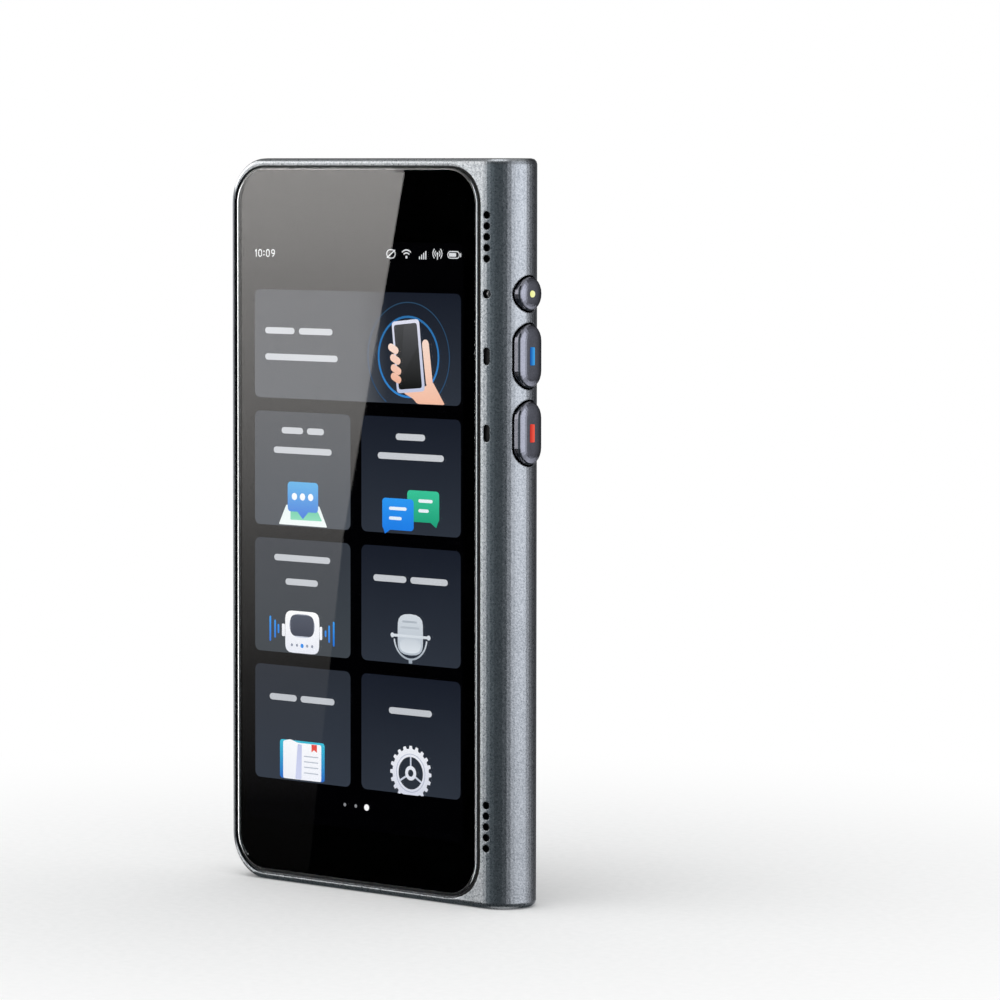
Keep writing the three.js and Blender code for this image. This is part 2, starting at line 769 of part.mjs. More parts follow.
function flashLens() {
  const top = back - flash.dome;
  return turned([
    [0, coverInside - flash.flangeThickness - fit],
    [flash.radius + flash.flange, coverInside - flash.flangeThickness - fit],
    [flash.radius + flash.flange, coverInside - fit],
    [flash.radius, coverInside - fit],
    [flash.radius, top],
    ...[1, 2, 3].map((step) => {
      const angle = (step / 4) * (Math.PI / 2);
      return [flash.radius * Math.cos(angle), top + flash.dome * Math.sin(angle)];
    }),
    [0, back],
  ], arcSteps * 3);
}

const optics = group();
add(optics, 'camera_ring', cameraRing(), 'steel', [0, 0, lensLevel]);
const windowDisc = circle([0, 0], lens.glassRadius, arcSteps * 4);
add(optics, 'camera_window', prism('y', windowDisc, 0, lens.glassThickness), 'lensGlass', [
  0,
  back + lens.rim - lens.sunk - lens.glassThickness,
  lensLevel,
]);
add(optics, 'camera_module', cameraModule(), 'moulding', [0, 0, lensLevel]);
add(optics, 'flash_lens', flashLens(), 'diffuser', [0, 0, flashLevel]);
const ledOutline = block([0, 0], [flash.ledWidth, flash.ledWidth], flash.ledCorner);
const ledTop = coverInside - flash.flangeThickness - seat * 2;
add(optics, 'flash_led', prism('y', ledOutline, onBoard, ledTop), 'diffuser', [0, 0, flashLevel]);

// Keys on the spine

// The levels of a key: straight sides, a rounded rim and a shallow crown that ends beside the light.
function keyLevels() {
  const top = right + keys.proud;
  const reach = keys.width / 2 - keys.edge - keys.lightWidth / 2;
  const rimTurn = Math.PI / 2 - Math.atan((keys.crown * 2) / reach);
  const rimMiddle = top - keys.crown - keys.edge * Math.sin(rimTurn);
  const rimEnd = keys.edge * (1 - Math.cos(rimTurn));
  const shares = Array.from({ length: faceSteps + 1 }, (_, step) => step / faceSteps);
  const rim = shares.map((share) => [
    rimMiddle + keys.edge * Math.sin(rimTurn * share),
    keys.edge * (1 - Math.cos(rimTurn * share)),
  ]);
  const crown = shares.slice(1).map((share) => [top - keys.crown * (1 - share) ** 2, rimEnd + reach * share]);
  return [[keyTabInside, 0], ...rim, ...crown];
}

function keyCap(key) {
  const cap = loft('x', keyOutline(key, 0), keyLevels());
  const tabLength = key.length + (slide + keys.tab) * 2;
  const tabOutline = block([0, key.level], [keys.width / 2, tabLength], keys.tab / 2);
  const tab = prism('x', tabOutline, keyTabInside, keyTabOutside);
  const nub = prism('x', circle([0, key.switchLevel], keys.nubRadius), keyNubEnd, keyTabInside + seat);
  const lightHole = lightOutline(key, key.level, fit);
  return carve([cap, tab, nub], [prism('x', lightHole, keyTabInside - overrun, right + keys.proud + overrun)]);
}

const keyBoardBottom = redLevel - keys.length / 2 - keyBoard.end;
const keyBoardTop = powerLevel + keys.width / 2 + keyBoard.end;
const uprightOutline = (bottom, top) => roundedBox(
  [onPlate, bottom],
  [spineBack - seam, top],
  Array(4).fill(keyBoard.corner),
  2,
);

function keyCircuit() {
  const lamps = keySet.map((key) => prism(
    'x',
    block([0, key.level], [keyBoard.ledWidth, keyBoard.ledLength], keyBoard.corner / 2),
    keyBoardLeft + seat,
    keyBoardRight + keyBoard.ledHeight,
  ));
  const sheet = prism('x', uprightOutline(keyBoardBottom, keyBoardTop), keyBoardLeft, keyBoardRight);
  return carve([sheet, ...lamps]);
}

// A folded sheet: the foot lies on the midframe and the upright carries the key board.
function keyBracket() {
  const foot = roundedBox(
    [bracketRight - bracket.foot, keyBoardBottom],
    [bracketRight, powerLevel],
    Array(4).fill(keyBoard.corner),
    2,
  );
  return carve([
    prism('x', uprightOutline(keyBoardBottom, powerLevel), bracketRight - bracket.thickness, bracketRight),
    prism('y', foot, onPlate, onPlate + bracket.thickness),
  ]);
}

// A switch with its plunger along x.
function switchBody(size) {
  const body = prism('x', block([0, 0], [size.width, size.length], size.corner), 0, size.height);
  const plunger = circle([0, 0], size.plungerRadius);
  return carve([body, prism('x', plunger, size.height / 2, size.height + size.plungerHeight)]);
}

const keyGroup = group();
const lightMaterials = { power: 'yellowLight', blue: 'blueLight', red: 'redLight' };
for (const key of keySet) {
  add(keyGroup, `${key.name}_button`, keyCap(key), 'keyMetal');
  const pipe = prism('x', lightOutline(key, 0, 0), keyTabInside, right + keys.proud + keys.lightProud);
  add(keyGroup, `${key.name}_light`, pipe, lightMaterials[key.name], [0, 0, key.level]);
  add(keyGroup, `${key.name}_switch`, switchBody(tact), 'steel', [tactFoot, 0, key.switchLevel]);
}
add(keyGroup, 'key_board', keyCircuit(), 'circuitBoard');
add(keyGroup, 'key_bracket', keyBracket(), 'steel');

// Volume rocker on the band

function rockerCap() {
  const outside = left - rocker.proud;
  const cap = loft('x', rockerOutline(0), filletLevels(outside, rockerRear, rocker.edge, 0));
  const pivot = prism(
    'y',
    circle([rockerRear, rockerLevel], rocker.play - fit),
    sideKeyLevel - rocker.width / 2,
    sideKeyLevel + rocker.width / 2,
  );
  const postEnd = wallInside + rocker.postReach;
  const posts = postLevels.map((level) => (
    prism('x', circle([sideKeyLevel, level], rocker.postRadius), rockerRear - seat, postEnd)));
  const notch = prism('y', circle([outside, rockerLevel], rocker.notch), front, back);
  return carve([cap, pivot, ...posts], [notch]);
}

const sideGroup = group();
add(sideGroup, 'volume_rocker', rockerCap(), 'keyMetal');
['up', 'down'].forEach((direction, index) => {
  const place = [sideSwitchBack, sideKeyLevel, postLevels[index]];
  add(sideGroup, `volume_${direction}_switch`, switchBody(sideSwitch), 'steel', place).rotation.z = Math.PI;
});

// A strip with two feet on the side wall, which carries the volume switches.
function volumeBracket() {
  const switchEnd = rocker.postOffset + sideSwitch.length / 2;
  const half = switchEnd + bracket.switchGap + bracket.thickness * 2;
  const strap = block([sideKeyLevel, rockerLevel], [sideSwitch.width, half * 2], sideSwitch.corner, 1);
  const feet = [1, -1].map((end) => block(
    [sideKeyLevel, rockerLevel + end * (half - bracket.thickness)],
    [sideSwitch.width, bracket.thickness * 2],
    sideSwitch.corner,
    1,
  ));
  return carve([
    prism('x', strap, strapStart, strapEnd),
    ...feet.map((foot) => prism('x', foot, wallInside + fit, strapEnd)),
  ]);
}
add(sideGroup, 'volume_bracket', volumeBracket(), 'steel');

// SIM tray, card and socket

const doorBack = wallOutside - fit;
const trayEnd = doorBack + tray.plateLength;
const cardBottom = sideKeyLevel + tray.plateThickness / 2 - tray.cardThickness - fit;
const cardMiddle = trayEnd - (tray.plateWidth - tray.cardWidth) / 2 - tray.cardLength / 2;

function cardOutline(gap) {
  const halfLength = tray.cardLength / 2 + gap;
  const halfWidth = tray.cardWidth / 2 + gap;
  return () => [
    [-halfLength, -halfWidth],
    [halfLength - tray.cardCorner, -halfWidth],
    [halfLength, -halfWidth + tray.cardCorner],
    [halfLength, halfWidth],
    [-halfLength, halfWidth],
  ].map(([x, z]) => [cardMiddle + x, trayPlateLevel + z]);
}

function simTray() {
  const door = prism('x', doorOutline(0), left, doorBack);
  const sheet = prism('x', trayPlateOutline(0), doorBack - seat, trayEnd);
  const pocket = prism('y', cardOutline(slide / 2), cardBottom - fit, back);
  const pinHole = prism('x', pinOutline, left - overrun, doorBack + overrun);
  return carve([door, sheet], [pocket, pinHole]);
}

function simSocket() {
  const start = wallInside + seat;
  const end = trayEnd + slide + socket.wall;
  const inside = trayPlateOutline(socket.clearance);
  const outside = trayPlateOutline(socket.clearance + socket.wall);
  return carve([prism('x', outside, start, end)], [prism('x', inside, start - overrun, end - socket.wall)]);
}

add(sideGroup, 'sim_tray', simTray(), 'keyMetal');
add(sideGroup, 'sim_card', prism('y', cardOutline(0), cardBottom, cardBottom + tray.cardThickness), 'diffuser');
add(sideGroup, 'sim_socket', simSocket(), 'steel');

// Charging port at the bottom end

function portShell() {
  const inner = portOutline(-port.wall);
  const shell = prism('z', portOutline(0), port.sunk, port.sunk + port.depth);
  const middle = [0, port.sunk + port.depth / 2];
  const wings = block(middle, [port.width + wing.reach * 2, wing.length], wing.thickness);
  return carve(
    [shell, prism('y', wings, onBoard, onBoard + wing.thickness)],
    [prism('z', inner, port.sunk - overrun, port.sunk + port.depth - port.wall)],
  );
}

function portContacts() {
  const rootTop = port.sunk + port.depth - port.wall - fit;
  const root = portOutline(-port.wall - fit);
  const blade = block([0, 0], [tongue.width, tongue.thickness], tongue.thickness * cornerShare, 1);
  return carve([
    prism('z', root, rootTop - tongue.rootDepth, rootTop),
    prism('z', blade, port.sunk + tongue.mouthGap, rootTop),
  ]);
}

const portGroup = group();
add(portGroup, 'usb_c_shell', portShell(), 'steel');
add(portGroup, 'usb_c_contacts', portContacts(), 'moulding');

// Sound, sensor and microphones along the strip

const meshBack = spineFront + fit + mesh.thickness;
const boxBack = coverInside - speaker.backGap;

// A speaker box whose snout fills the spine behind a column of holes.
function soundBox(middle) {
  const box = roundedBox(
    [speakerLeft, middle - speakerHalf],
    [speakerRight, middle + speakerHalf],
    Array(4).fill(speaker.corner),
    2,
  );
  const snout = (start) => roundedBox(
    [start, middle - snoutHalf],
    [keyWallInside - slide, middle + snoutHalf],
    Array(4).fill(speaker.corner / 2),
    2,
  );
  const snoutFront = meshBack + fit;
  const mouth = stadium([holeColumn, middle], strip.holeRadius * 2, (snoutHalf - speaker.snoutEnd) * 2, 3);
  return carve(
    [
      prism('y', box, onPlate, boxBack),
      prism('y', snout(speakerRight - speaker.corner), onPlate, spineBack - slide),
      prism('y', snout(spineCavityLeft + seat), snoutFront, onPlate + seat),
    ],
    [prism('y', mouth, snoutFront - overrun, snoutFront + speaker.portDepth)],
  );
}

function soundMesh(middle) {
  const size = [(strip.holeRadius + mesh.border) * 2, snoutHalf * 2];
  return prism('y', block([holeColumn, middle], size, mesh.border, 1), spineFront + fit, meshBack);
}

// A dark window in the round hole. Its flange lies behind the wall.
function sensorDome() {
  const flangeRadius = sensor.radius + sensor.flange;
  const tip = frame.spineWall - slot.recess;
  return turned([
    [0, -sensor.flangeThickness],
    [flangeRadius, -sensor.flangeThickness],
    [flangeRadius, -fit],
    [sensor.radius, -fit],
    [sensor.radius, tip - sensor.dome],
    [sensor.radius * Math.SQRT1_2, tip - sensor.dome * (1 - Math.SQRT1_2)],
    [0, tip],
  ], screw.sides);
}

function microphone(level) {
  const boss = stadium([holeColumn, level], slot.width - fit * 2, slot.length - fit * 2, 3);
  const size = [slot.width + slot.border * 2, slot.length + slot.border * 2];
  const body = block([holeColumn, level], size, slot.border / 2);
  return carve([
    prism('y', boss, front + slot.recess, spineFront + seat),
    prism('y', body, spineFront + fit, spineFront + fit + slot.bodyThickness),
  ]);
}

const sound = group();
const speakerLevels = { upper_speaker: upperSpeakerLevel, main_speaker: mainSpeakerLevel };
for (const [name, level] of Object.entries(speakerLevels)) {
  add(sound, name, soundBox(level), 'moulding');
  add(sound, `${name}_mesh`, soundMesh(level), 'steel');
}
const sensorPlace = [holeColumn, spineFront, powerLevel];
add(sound, 'light_sensor', sensorDome(), 'lensGlass', sensorPlace).rotation.x = Math.PI;
add(sound, 'upper_microphone', microphone(blueLevel), 'moulding');
add(sound, 'lower_microphone', microphone(redLevel), 'moulding');

// Power, ribbons and the small modules

// A pouch with a narrower head, where the cables leave it.
function batteryPack() {
  const section = roundedBox([boardLeft, onPlate], [boardRight, packBack], Array(4).fill(cell.corner), 3);
  const headSection = roundedBox(
    [boardLeft + cell.capInset, onPlate + cell.capInset],
    [boardRight - cell.capInset, packBack - cell.capInset],
    Array(4).fill(cell.corner),
    1,
  );
  const shoulder = packTop - cell.capHeight;
  return carve([
    loft('z', section, filletLevels(packBottom, shoulder, cell.corner / 2, cell.corner / 2, 2)),
    prism('z', headSection, shoulder - cell.corner, packTop),
  ]);
}

// A flat cable across the given places along x, through points [y, z], with mitred bends.
function ribbon(points, middle) {
  const route = points.map(([y, z]) => new THREE.Vector2(y, z));
  const normals = route.slice(1).map((end, index) => {
    const along = end.clone().sub(route[index]).normalize();
    return new THREE.Vector2(-along.y, along.x);
  });
  const edge = (side) => route.map((point, index) => {
    const before = normals[Math.max(index - 1, 0)];
    const after = normals[Math.min(index, normals.length - 1)];
    const mitre = before.clone().add(after).divideScalar(1 + before.dot(after));
    return mitre.multiplyScalar((side * flex.thickness) / 2).add(point);
  });
  const outline = new THREE.Shape([...edge(1), ...edge(-1).reverse()]);
  const strap = new THREE.ExtrudeGeometry(outline, { depth: flex.width, bevelEnabled: false });
  const upright = new THREE.Matrix4().makeBasis(
    new THREE.Vector3(0, 1, 0),
    new THREE.Vector3(0, 0, 1),
    new THREE.Vector3(1, 0, 0),
  );
  return strap.translate(0, 0, -flex.width / 2).applyMatrix4(upright).translate(middle, 0, 0);
}

// A connector on a board face, wide enough to hold its ribbon.
function plug(middle, low, high) {
  return prism('y', block(middle, [flex.width + seat * 2, flex.plugLength], seat), low, high);
}

const ribbonLevel = onBoard + flex.plugHeight;
const upperPlugLevel = mainBottom + shield.plugRoom / 2;
const upperBend = (packTop + mainBottom) / 2;
const lowerBend = (board.subTop + packBottom) / 2;
const ribbonSeat = fit + flex.thickness / 2;

function batteryFlex() {
  const onHead = packBack - cell.capInset + ribbonSeat;
  const middle = boardScrews.at(-1)[0] / 2;
  const start = packTop - cell.capHeight + cell.corner / 2;
  return carve([
    ribbon([[onHead, start], [onHead, upperBend], [ribbonLevel, upperBend], [ribbonLevel, upperPlugLevel]],
      middle),
    plug([middle, upperPlugLevel], onBoard, ribbonLevel + flex.thickness),
  ]);
}

function mainFlex() {
  const behindPack = packBack + ribbonSeat;
  const start = board.subTop - flex.plugLength / 2 - seat;
  return carve([
    ribbon([
      [ribbonLevel, start],
      [ribbonLevel, lowerBend],
      [behindPack, lowerBend],
      [behindPack, upperBend],
      [ribbonLevel, upperBend],
      [ribbonLevel, upperPlugLevel],
    ], -flex.sideOffset),
    plug([-flex.sideOffset, start], onBoard, ribbonLevel + flex.thickness),
    plug([-flex.sideOffset, upperPlugLevel], onBoard, ribbonLevel + flex.thickness),
  ]);
}

// It runs from the rear of the backlight through the midframe to the lower board.
function displayFlex() {
  const start = subScrewLevel - flex.plugLength + seat * 2;
  const onLight = lightBack + ribbonSeat;
  const underBoard = boardFront - fit - flex.plugHeight;
  const turn = start + flex.landing;
  const end = turn + flex.landing;
  return carve([
    ribbon([[onLight, start], [onLight, turn], [underBoard, turn], [underBoard, end]], 0),
    plug([0, end], underBoard - flex.thickness / 2, boardFront - fit),
  ]);
}

function vibrationMotor() {
  return turned([
    [0, 0],
    [motor.radius, 0],
    [motor.radius, motor.height],
    [motor.boss, motor.height],
    [motor.boss, motor.height + motor.bossHeight],
    [0, motor.height + motor.bossHeight],
  ]);
}

const power = group();
add(power, 'battery', batteryPack(), 'pouch');
add(power, 'battery_flex', batteryFlex(), 'flexFilm');
add(power, 'main_flex', mainFlex(), 'flexFilm');
add(power, 'display_flex', displayFlex(), 'flexFilm');
add(power, 'vibration_motor', vibrationMotor(), 'steel', [motorMiddle[0], onPlate, motorMiddle[1]]);
const antennaMiddle = [
  ledgeSides[0] + screw.headRadius + antennaBlock.screwGap + antennaBlock.width / 2,
  ceilingLevel - slide - antennaBlock.height / 2,
];
const antennaOutline = block(antennaMiddle, [antennaBlock.width, antennaBlock.height], antennaBlock.corner);
add(power, 'antenna_block', prism('y', antennaOutline, onPlate, onPlate + antennaBlock.depth), 'moulding');

export default device;
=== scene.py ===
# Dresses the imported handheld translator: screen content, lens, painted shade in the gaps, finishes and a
# small studio.
import bpy
import bmesh
import math
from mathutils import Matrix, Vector
from mathutils.geometry import tessellate_polygon


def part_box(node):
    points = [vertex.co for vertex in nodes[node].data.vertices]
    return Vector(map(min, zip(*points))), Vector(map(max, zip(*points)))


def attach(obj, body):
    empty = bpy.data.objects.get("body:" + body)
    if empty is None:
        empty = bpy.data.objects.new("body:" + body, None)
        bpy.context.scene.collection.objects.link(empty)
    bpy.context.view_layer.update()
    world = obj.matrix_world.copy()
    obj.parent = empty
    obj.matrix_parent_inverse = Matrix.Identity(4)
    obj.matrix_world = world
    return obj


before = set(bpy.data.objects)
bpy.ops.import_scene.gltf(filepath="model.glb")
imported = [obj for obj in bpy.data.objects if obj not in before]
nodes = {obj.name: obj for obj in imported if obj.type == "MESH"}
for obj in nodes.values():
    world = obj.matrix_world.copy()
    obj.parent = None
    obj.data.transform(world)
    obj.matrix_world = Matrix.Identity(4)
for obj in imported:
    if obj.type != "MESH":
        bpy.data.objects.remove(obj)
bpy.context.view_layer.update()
mm = 0.001
bpy.context.scene.view_settings.view_transform = "Standard"
print("frame loaded,", len(nodes), "nodes")


def boxOf(name):
    # a node's box in mm, as its low and its high corner
    return [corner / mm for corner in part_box(name)]


def middleOf(name):
    return [(low + high) / 2 for low, high in zip(*boxOf(name))]


# Colours and nodes

def linear(code):
    parts = [int(code[place:place + 2], 16) / 255 for place in (1, 3, 5)]
    return (*[part / 12.92 if part <= 0.04045 else ((part + 0.055) / 1.055) ** 2.4 for part in parts], 1)


def addNode(tree, kind, inputs=None, **settings):
    # a node that is given as an input stands for its first socket
    made = tree.nodes.new("ShaderNode" + kind)
    for name, value in settings.items():
        setattr(made, name, value)
    for name, value in (inputs or {}).items():
        if isinstance(value, bpy.types.Node):
            value = value.outputs[0]
        if isinstance(value, bpy.types.NodeSocket):
            tree.links.new(value, made.inputs[name])
        else:
            made.inputs[name].default_value = value
    return made


def startMaterial(name):
    made = bpy.data.materials.new(name)
    made.use_nodes = True
    made.node_tree.nodes.clear()
    return made, made.node_tree


# Camera, at the place from which the photograph shows the front of the device

camera = {
    "place": (482.312, -535.574, 111.590),  # mm
    "turn": (87.08, -0.079, 40.6537),  # degrees
    "lens": 168.66,
    "sensor": 36,
    "shift": -0.0934,  # the lens is shifted down, so that upright edges stay nearly upright
}
cameraData = bpy.data.cameras.new("camera")
cameraData.lens = camera["lens"]
cameraData.sensor_width = camera["sensor"]
cameraData.shift_y = camera["shift"]
cameraObject = bpy.data.objects.new("camera", cameraData)
cameraObject.location = Vector(camera["place"]) * mm
cameraObject.rotation_euler = [math.radians(angle) for angle in camera["turn"]]
bpy.context.scene.collection.objects.link(cameraObject)
bpy.context.scene.camera = cameraObject
print("camera placed")


# Meshes, in mm

def finishMesh(name, shape, material, slot=None, body="device", smooth=False):
    # a shape is its vertices and its faces. Without a slot it isn't a piece of the device.
    vertices, faces = shape
    made = bmesh.new()
    corners = [made.verts.new(Vector(vertex) * mm) for vertex in vertices]
    for face in faces:
        made.faces.new([corners[index] for index in face])
    bmesh.ops.recalc_face_normals(made, faces=made.faces)
    data = bpy.data.meshes.new(name)
    made.to_mesh(data)
    made.free()
    for polygon in data.polygons:
        polygon.use_smooth = smooth
    data.materials.append(material)
    piece = bpy.data.objects.new(name, data)
    bpy.context.scene.collection.objects.link(piece)
    if slot:
        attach(piece, body)
    return piece


# One closed plate for each island. An island is an outline with the outlines of its holes.
def plates(islands, front, thickness):
    vertices, faces = [], []
    for island in islands:
        start, count = len(vertices), sum(len(outline) for outline in island)
        for level in (front, front + thickness):
            vertices += [(x, level, z) for outline in island for x, z in outline]
        for a, b, c in tessellate_polygon([[Vector((x, z, 0)) for x, z in outline] for outline in island]):
            faces.append((start + a, start + b, start + c))
            faces.append((start + count + c, start + count + b, start + count + a))
        for outline in island:
            for index in range(len(outline)):
                ahead = (index + 1) % len(outline)
                faces.append((start + index, start + ahead, start + count + ahead, start + count + index))
            start += len(outline)
    return vertices, faces


def disc(middle, radius, steps=32):
    return [(middle[0] + radius * math.cos(2 * math.pi * step / steps),
             middle[1] + radius * math.sin(2 * math.pi * step / steps)) for step in range(steps)]


def roundedBox(left, bottom, right, top, radius, steps=5):
    corners = ((right - radius, top - radius, 0), (left + radius, top - radius, 90),
               (left + radius, bottom + radius, 180), (right - radius, bottom + radius, 270))
    return [(x + radius * math.cos(math.radians(turn + 90 * step / steps)),
             z + radius * math.sin(math.radians(turn + 90 * step / steps)))
            for x, z, turn in corners for step in range(steps + 1)]


def softened(points, radius, steps=4):
    # an outline with its corners rounded off, from the given distance on or from near a short side's middle
    nearMiddle = 2.1
    outline = []
    for index, corner in enumerate(points):
        here = Vector(corner)
        before, after = Vector(points[index - 1]) - here, Vector(points[(index + 1) % len(points)]) - here
        start = here + before.normalized() * min(radius, before.length / nearMiddle)
        end = here + after.normalized() * min(radius, after.length / nearMiddle)
        for step in range(steps + 1):
            share = step / steps
            point = start * (1 - share) ** 2 + here * 2 * share * (1 - share) + end * share ** 2
            outline.append(tuple(point))
    return outline


def bar(start, end, width, steps=5):
    # a straight stroke with round ends
    first, last = Vector(start), Vector(end)
    heading = math.atan2(last.y - first.y, last.x - first.x)
    outline = []
    for middle, turn in ((last, -90), (first, 90)):
        for step in range(steps + 1):
            angle = heading + math.radians(turn + 180 * step / steps)
            outline.append((middle.x + width / 2 * math.cos(angle), middle.y + width / 2 * math.sin(angle)))
    return outline


def arc(middle, radius, width, start, end, steps=24):
    turns = [math.radians(start + (end - start) * step / steps) for step in range(steps + 1)]
    outer, inner = radius + width / 2, radius - width / 2
    return [(middle[0] + outer * math.cos(turn), middle[1] + outer * math.sin(turn)) for turn in turns] + [
        (middle[0] + inner * math.cos(turn), middle[1] + inner * math.sin(turn)) for turn in reversed(turns)]


def turnedBody(profile, middle, steps=48):
    # a closed profile of (radius, level along y), turned about an axis along y
    vertices, faces = [], []
    for radius, level in profile:
        vertices += [(x, level, z) for x, z in disc(middle, radius, steps)]
    for ring in range(len(profile)):
        here, ahead = ring * steps, (ring + 1) % len(profile) * steps
        for step in range(steps):
            after = (step + 1) % steps
            faces.append((here + step, here + after, ahead + after, ahead + step))
    return vertices, faces


# Studio: a pale floor, a white surround and cards that only the glass and the metal mirror

studio = {
    "radius": 1150,
    "low": -520,
    "high": 1300,
    "rowHeight": 65,
    "columnWidth": 5,  # degrees
    "surround": 0.85,  # what reaches the object from all round
    # the slanted edge of the left card: azimuth in degrees at a height in mm
    "slant": ((-46.0, -520), (-43.26, -165), (-42.59, -35), (-42.15, 17), (-41.36, 112), (-40.0, 1300)),
    "slantStart": -45.6,  # from here to the slanted edge the flat glass mirrors the card
    "slantLeast": 0.1,
    # azimuth and brightness, left to right, outside what the flat glass mirrors
    "leftCard": ((-140, 0.2), (-90, 0.3), (-78, 9), (-60, 10), (-45.9, 6.6)),
    "rightCard": (
        (-39.5, 0), (-39.2, 3.6), (-34, 3.2), (-30, 1.1), (-18, 0.55), (-5, 0.42), (10, 0.27), (36, 0.25),
        (48, 0.36), (56, 0.7), (66, 1.95), (78, 3.0), (121, 3.3), (130, 0.7), (150, 0.4), (162, 0.12),
        (178, 0.1), (220, 0.3),
    ),
    # brightness at a height: of what the glass mirrors, and as a share of the left and the right card
    "glassFall": (
        (-165, 0.01), (-142, 0.015), (-90, 0.115), (-38, 0.36), (15, 0.82), (66, 1.27), (88, 1.57),
        (108, 1.76), (122, 1.95), (165, 2.4), (700, 2.4), (850, 0.8),
    ),
    "skyFall": ((124, 0), (165, 2.3), (700, 2.3), (850, 0.8)),
    "leftFall": (
        (-330, 0.02), (-240, 0.3), (-165, 0.87), (-100, 0.76), (-46, 0.61), (40, 0.7), (110, 0.9), (700, 0.6),
        (850, 0.12),
    ),
    "rightFall": ((-330, 0.3), (-165, 0.52), (-95, 0.92), (100, 1.06), (260, 1.06), (400, 0.5)),
    # from this azimuth on the card is bright low down, where the back panel mirrors it
    "rear": 125,
    "rearFall": (
        (-520, 2.2), (-330, 3.4), (-200, 2.6), (-160, 0.6), (-95, 0.92), (100, 1.06), (260, 1.06), (400, 0.5),
    ),
    # the colour at an azimuth: a little warm on the left, pale blue in the dark middle, then nearly white
    "tints": ((-41, "#FFFCF9"), (-34, "#FAFCFE"), (-20, "#E2F5FF"), (40, "#E4F5FF"), (60, "#F7F9FF")),
    "pit": {"start": 250, "glow": 0.12, "sides": 48},  # a dark ring under the cards
}


def between(stops, place):
    # the value at a place on a list of (place, value)
    if place <= stops[0][0]:
        return stops[0][1]
    for (low, first), (high, last) in zip(stops, stops[1:]):
        if place <= high:
            return first + (last - first) * (place - low) / (high - low)
    return stops[-1][1]


cardLight, tree = startMaterial("card light")
glow = addNode(tree, "Attribute", attribute_name="glow")
shine = addNode(tree, "Emission", {"Color": glow.outputs["Color"], "Strength": 1})
addNode(tree, "OutputMaterial", {"Surface": shine})


def glowColours(card, glows):
    # glows are (azimuth, brightness), one for each vertex
    colours = []
    for azimuth, bright in glows:
        tint = [between([(place, linear(code)[channel]) for place, code in studio["tints"]], azimuth)
                for channel in range(3)]
        colours += [bright * part for part in tint] + [1]
    card.data.attributes.new("glow", "FLOAT_COLOR", "POINT").data.foreach_set("color", colours)
    card.visible_camera = card.visible_diffuse = card.visible_shadow = False


def cardMesh(name, columns):
    # a bent card. A column is (azimuth at a height, brightness at a height).
    stops = {level for name in studio if name.endswith("Fall") for level, _ in studio[name]}
    stops |= {level for _, level in studio["slant"]}
    heights = sorted(stops | set(range(studio["low"], studio["high"] + 1, studio["rowHeight"])))
    vertices, faces, glows = [], [], []
    for height in heights:
        places = [(azimuth(height), bright(height)) for azimuth, bright in columns]
        spread = []
        for index, ((start, first), (end, last)) in enumerate(zip(places, places[1:])):
            reach = columns[index + 1][0](0) - columns[index][0](0)
            parts = max(1, round(reach / studio["columnWidth"]))
            spread += [(start + (end - start) * part / parts, first + (last - first) * part / parts)
                       for part in range(parts)]
        spread.append(places[-1])
        for azimuth, bright in spread:
            turn = math.radians(azimuth)
            vertices.append((studio["radius"] * math.sin(turn), -studio["radius"] * math.cos(turn), height))
            glows.append((azimuth, bright))
    across = len(spread)
    for row in range(len(heights) - 1):
        for column in range(across - 1):
            first = row * across + column
            faces.append((first, first + 1, first + across + 1, first + across))
    glowColours(finishMesh(name, (vertices, faces), cardLight), glows)


def upright(azimuth):
    return lambda height: azimuth


def slantAt(height):
    return between([(level, azimuth) for azimuth, level in studio["slant"]], height)


def slantStartAt(height):
    return min(studio["slantStart"], slantAt(height) - studio["slantLeast"])


def falling(brightness, side):
    return lambda height: brightness * between(studio[side], height)


leftColumns = [(upright(azimuth), falling(bright, "leftFall")) for azimuth, bright in studio["leftCard"]]
slantColumns = [(azimuthAt, falling(1, "glassFall")) for azimuthAt in (slantStartAt, slantAt)]
cardMesh("left_card", leftColumns + slantColumns)
rightColumns = [(upright(azimuth), falling(bright, "rearFall" if azimuth > studio["rear"] else "rightFall"))
                for azimuth, bright in studio["rightCard"]]
rightStart = upright(studio["rightCard"][0][0])
skyColumns = [(azimuthAt, falling(1, "skyFall")) for azimuthAt in (slantAt, rightStart)]
cardMesh("right_card", skyColumns + rightColumns)
sides = studio["pit"]["sides"]
pitRings = [disc((0, 0), radius, sides) for radius in (studio["pit"]["start"], studio["radius"] - 1)]
pitFaces = [(step, (step + 1) % sides, sides + (step + 1) % sides, sides + step) for step in range(sides)]
pitVertices = [(x, y, studio["low"]) for ring in pitRings for x, y in ring]
pit = finishMesh("pit_card", (pitVertices, pitFaces), cardLight)
glowColours(pit, [(0, studio["pit"]["glow"])] * sides * 2)

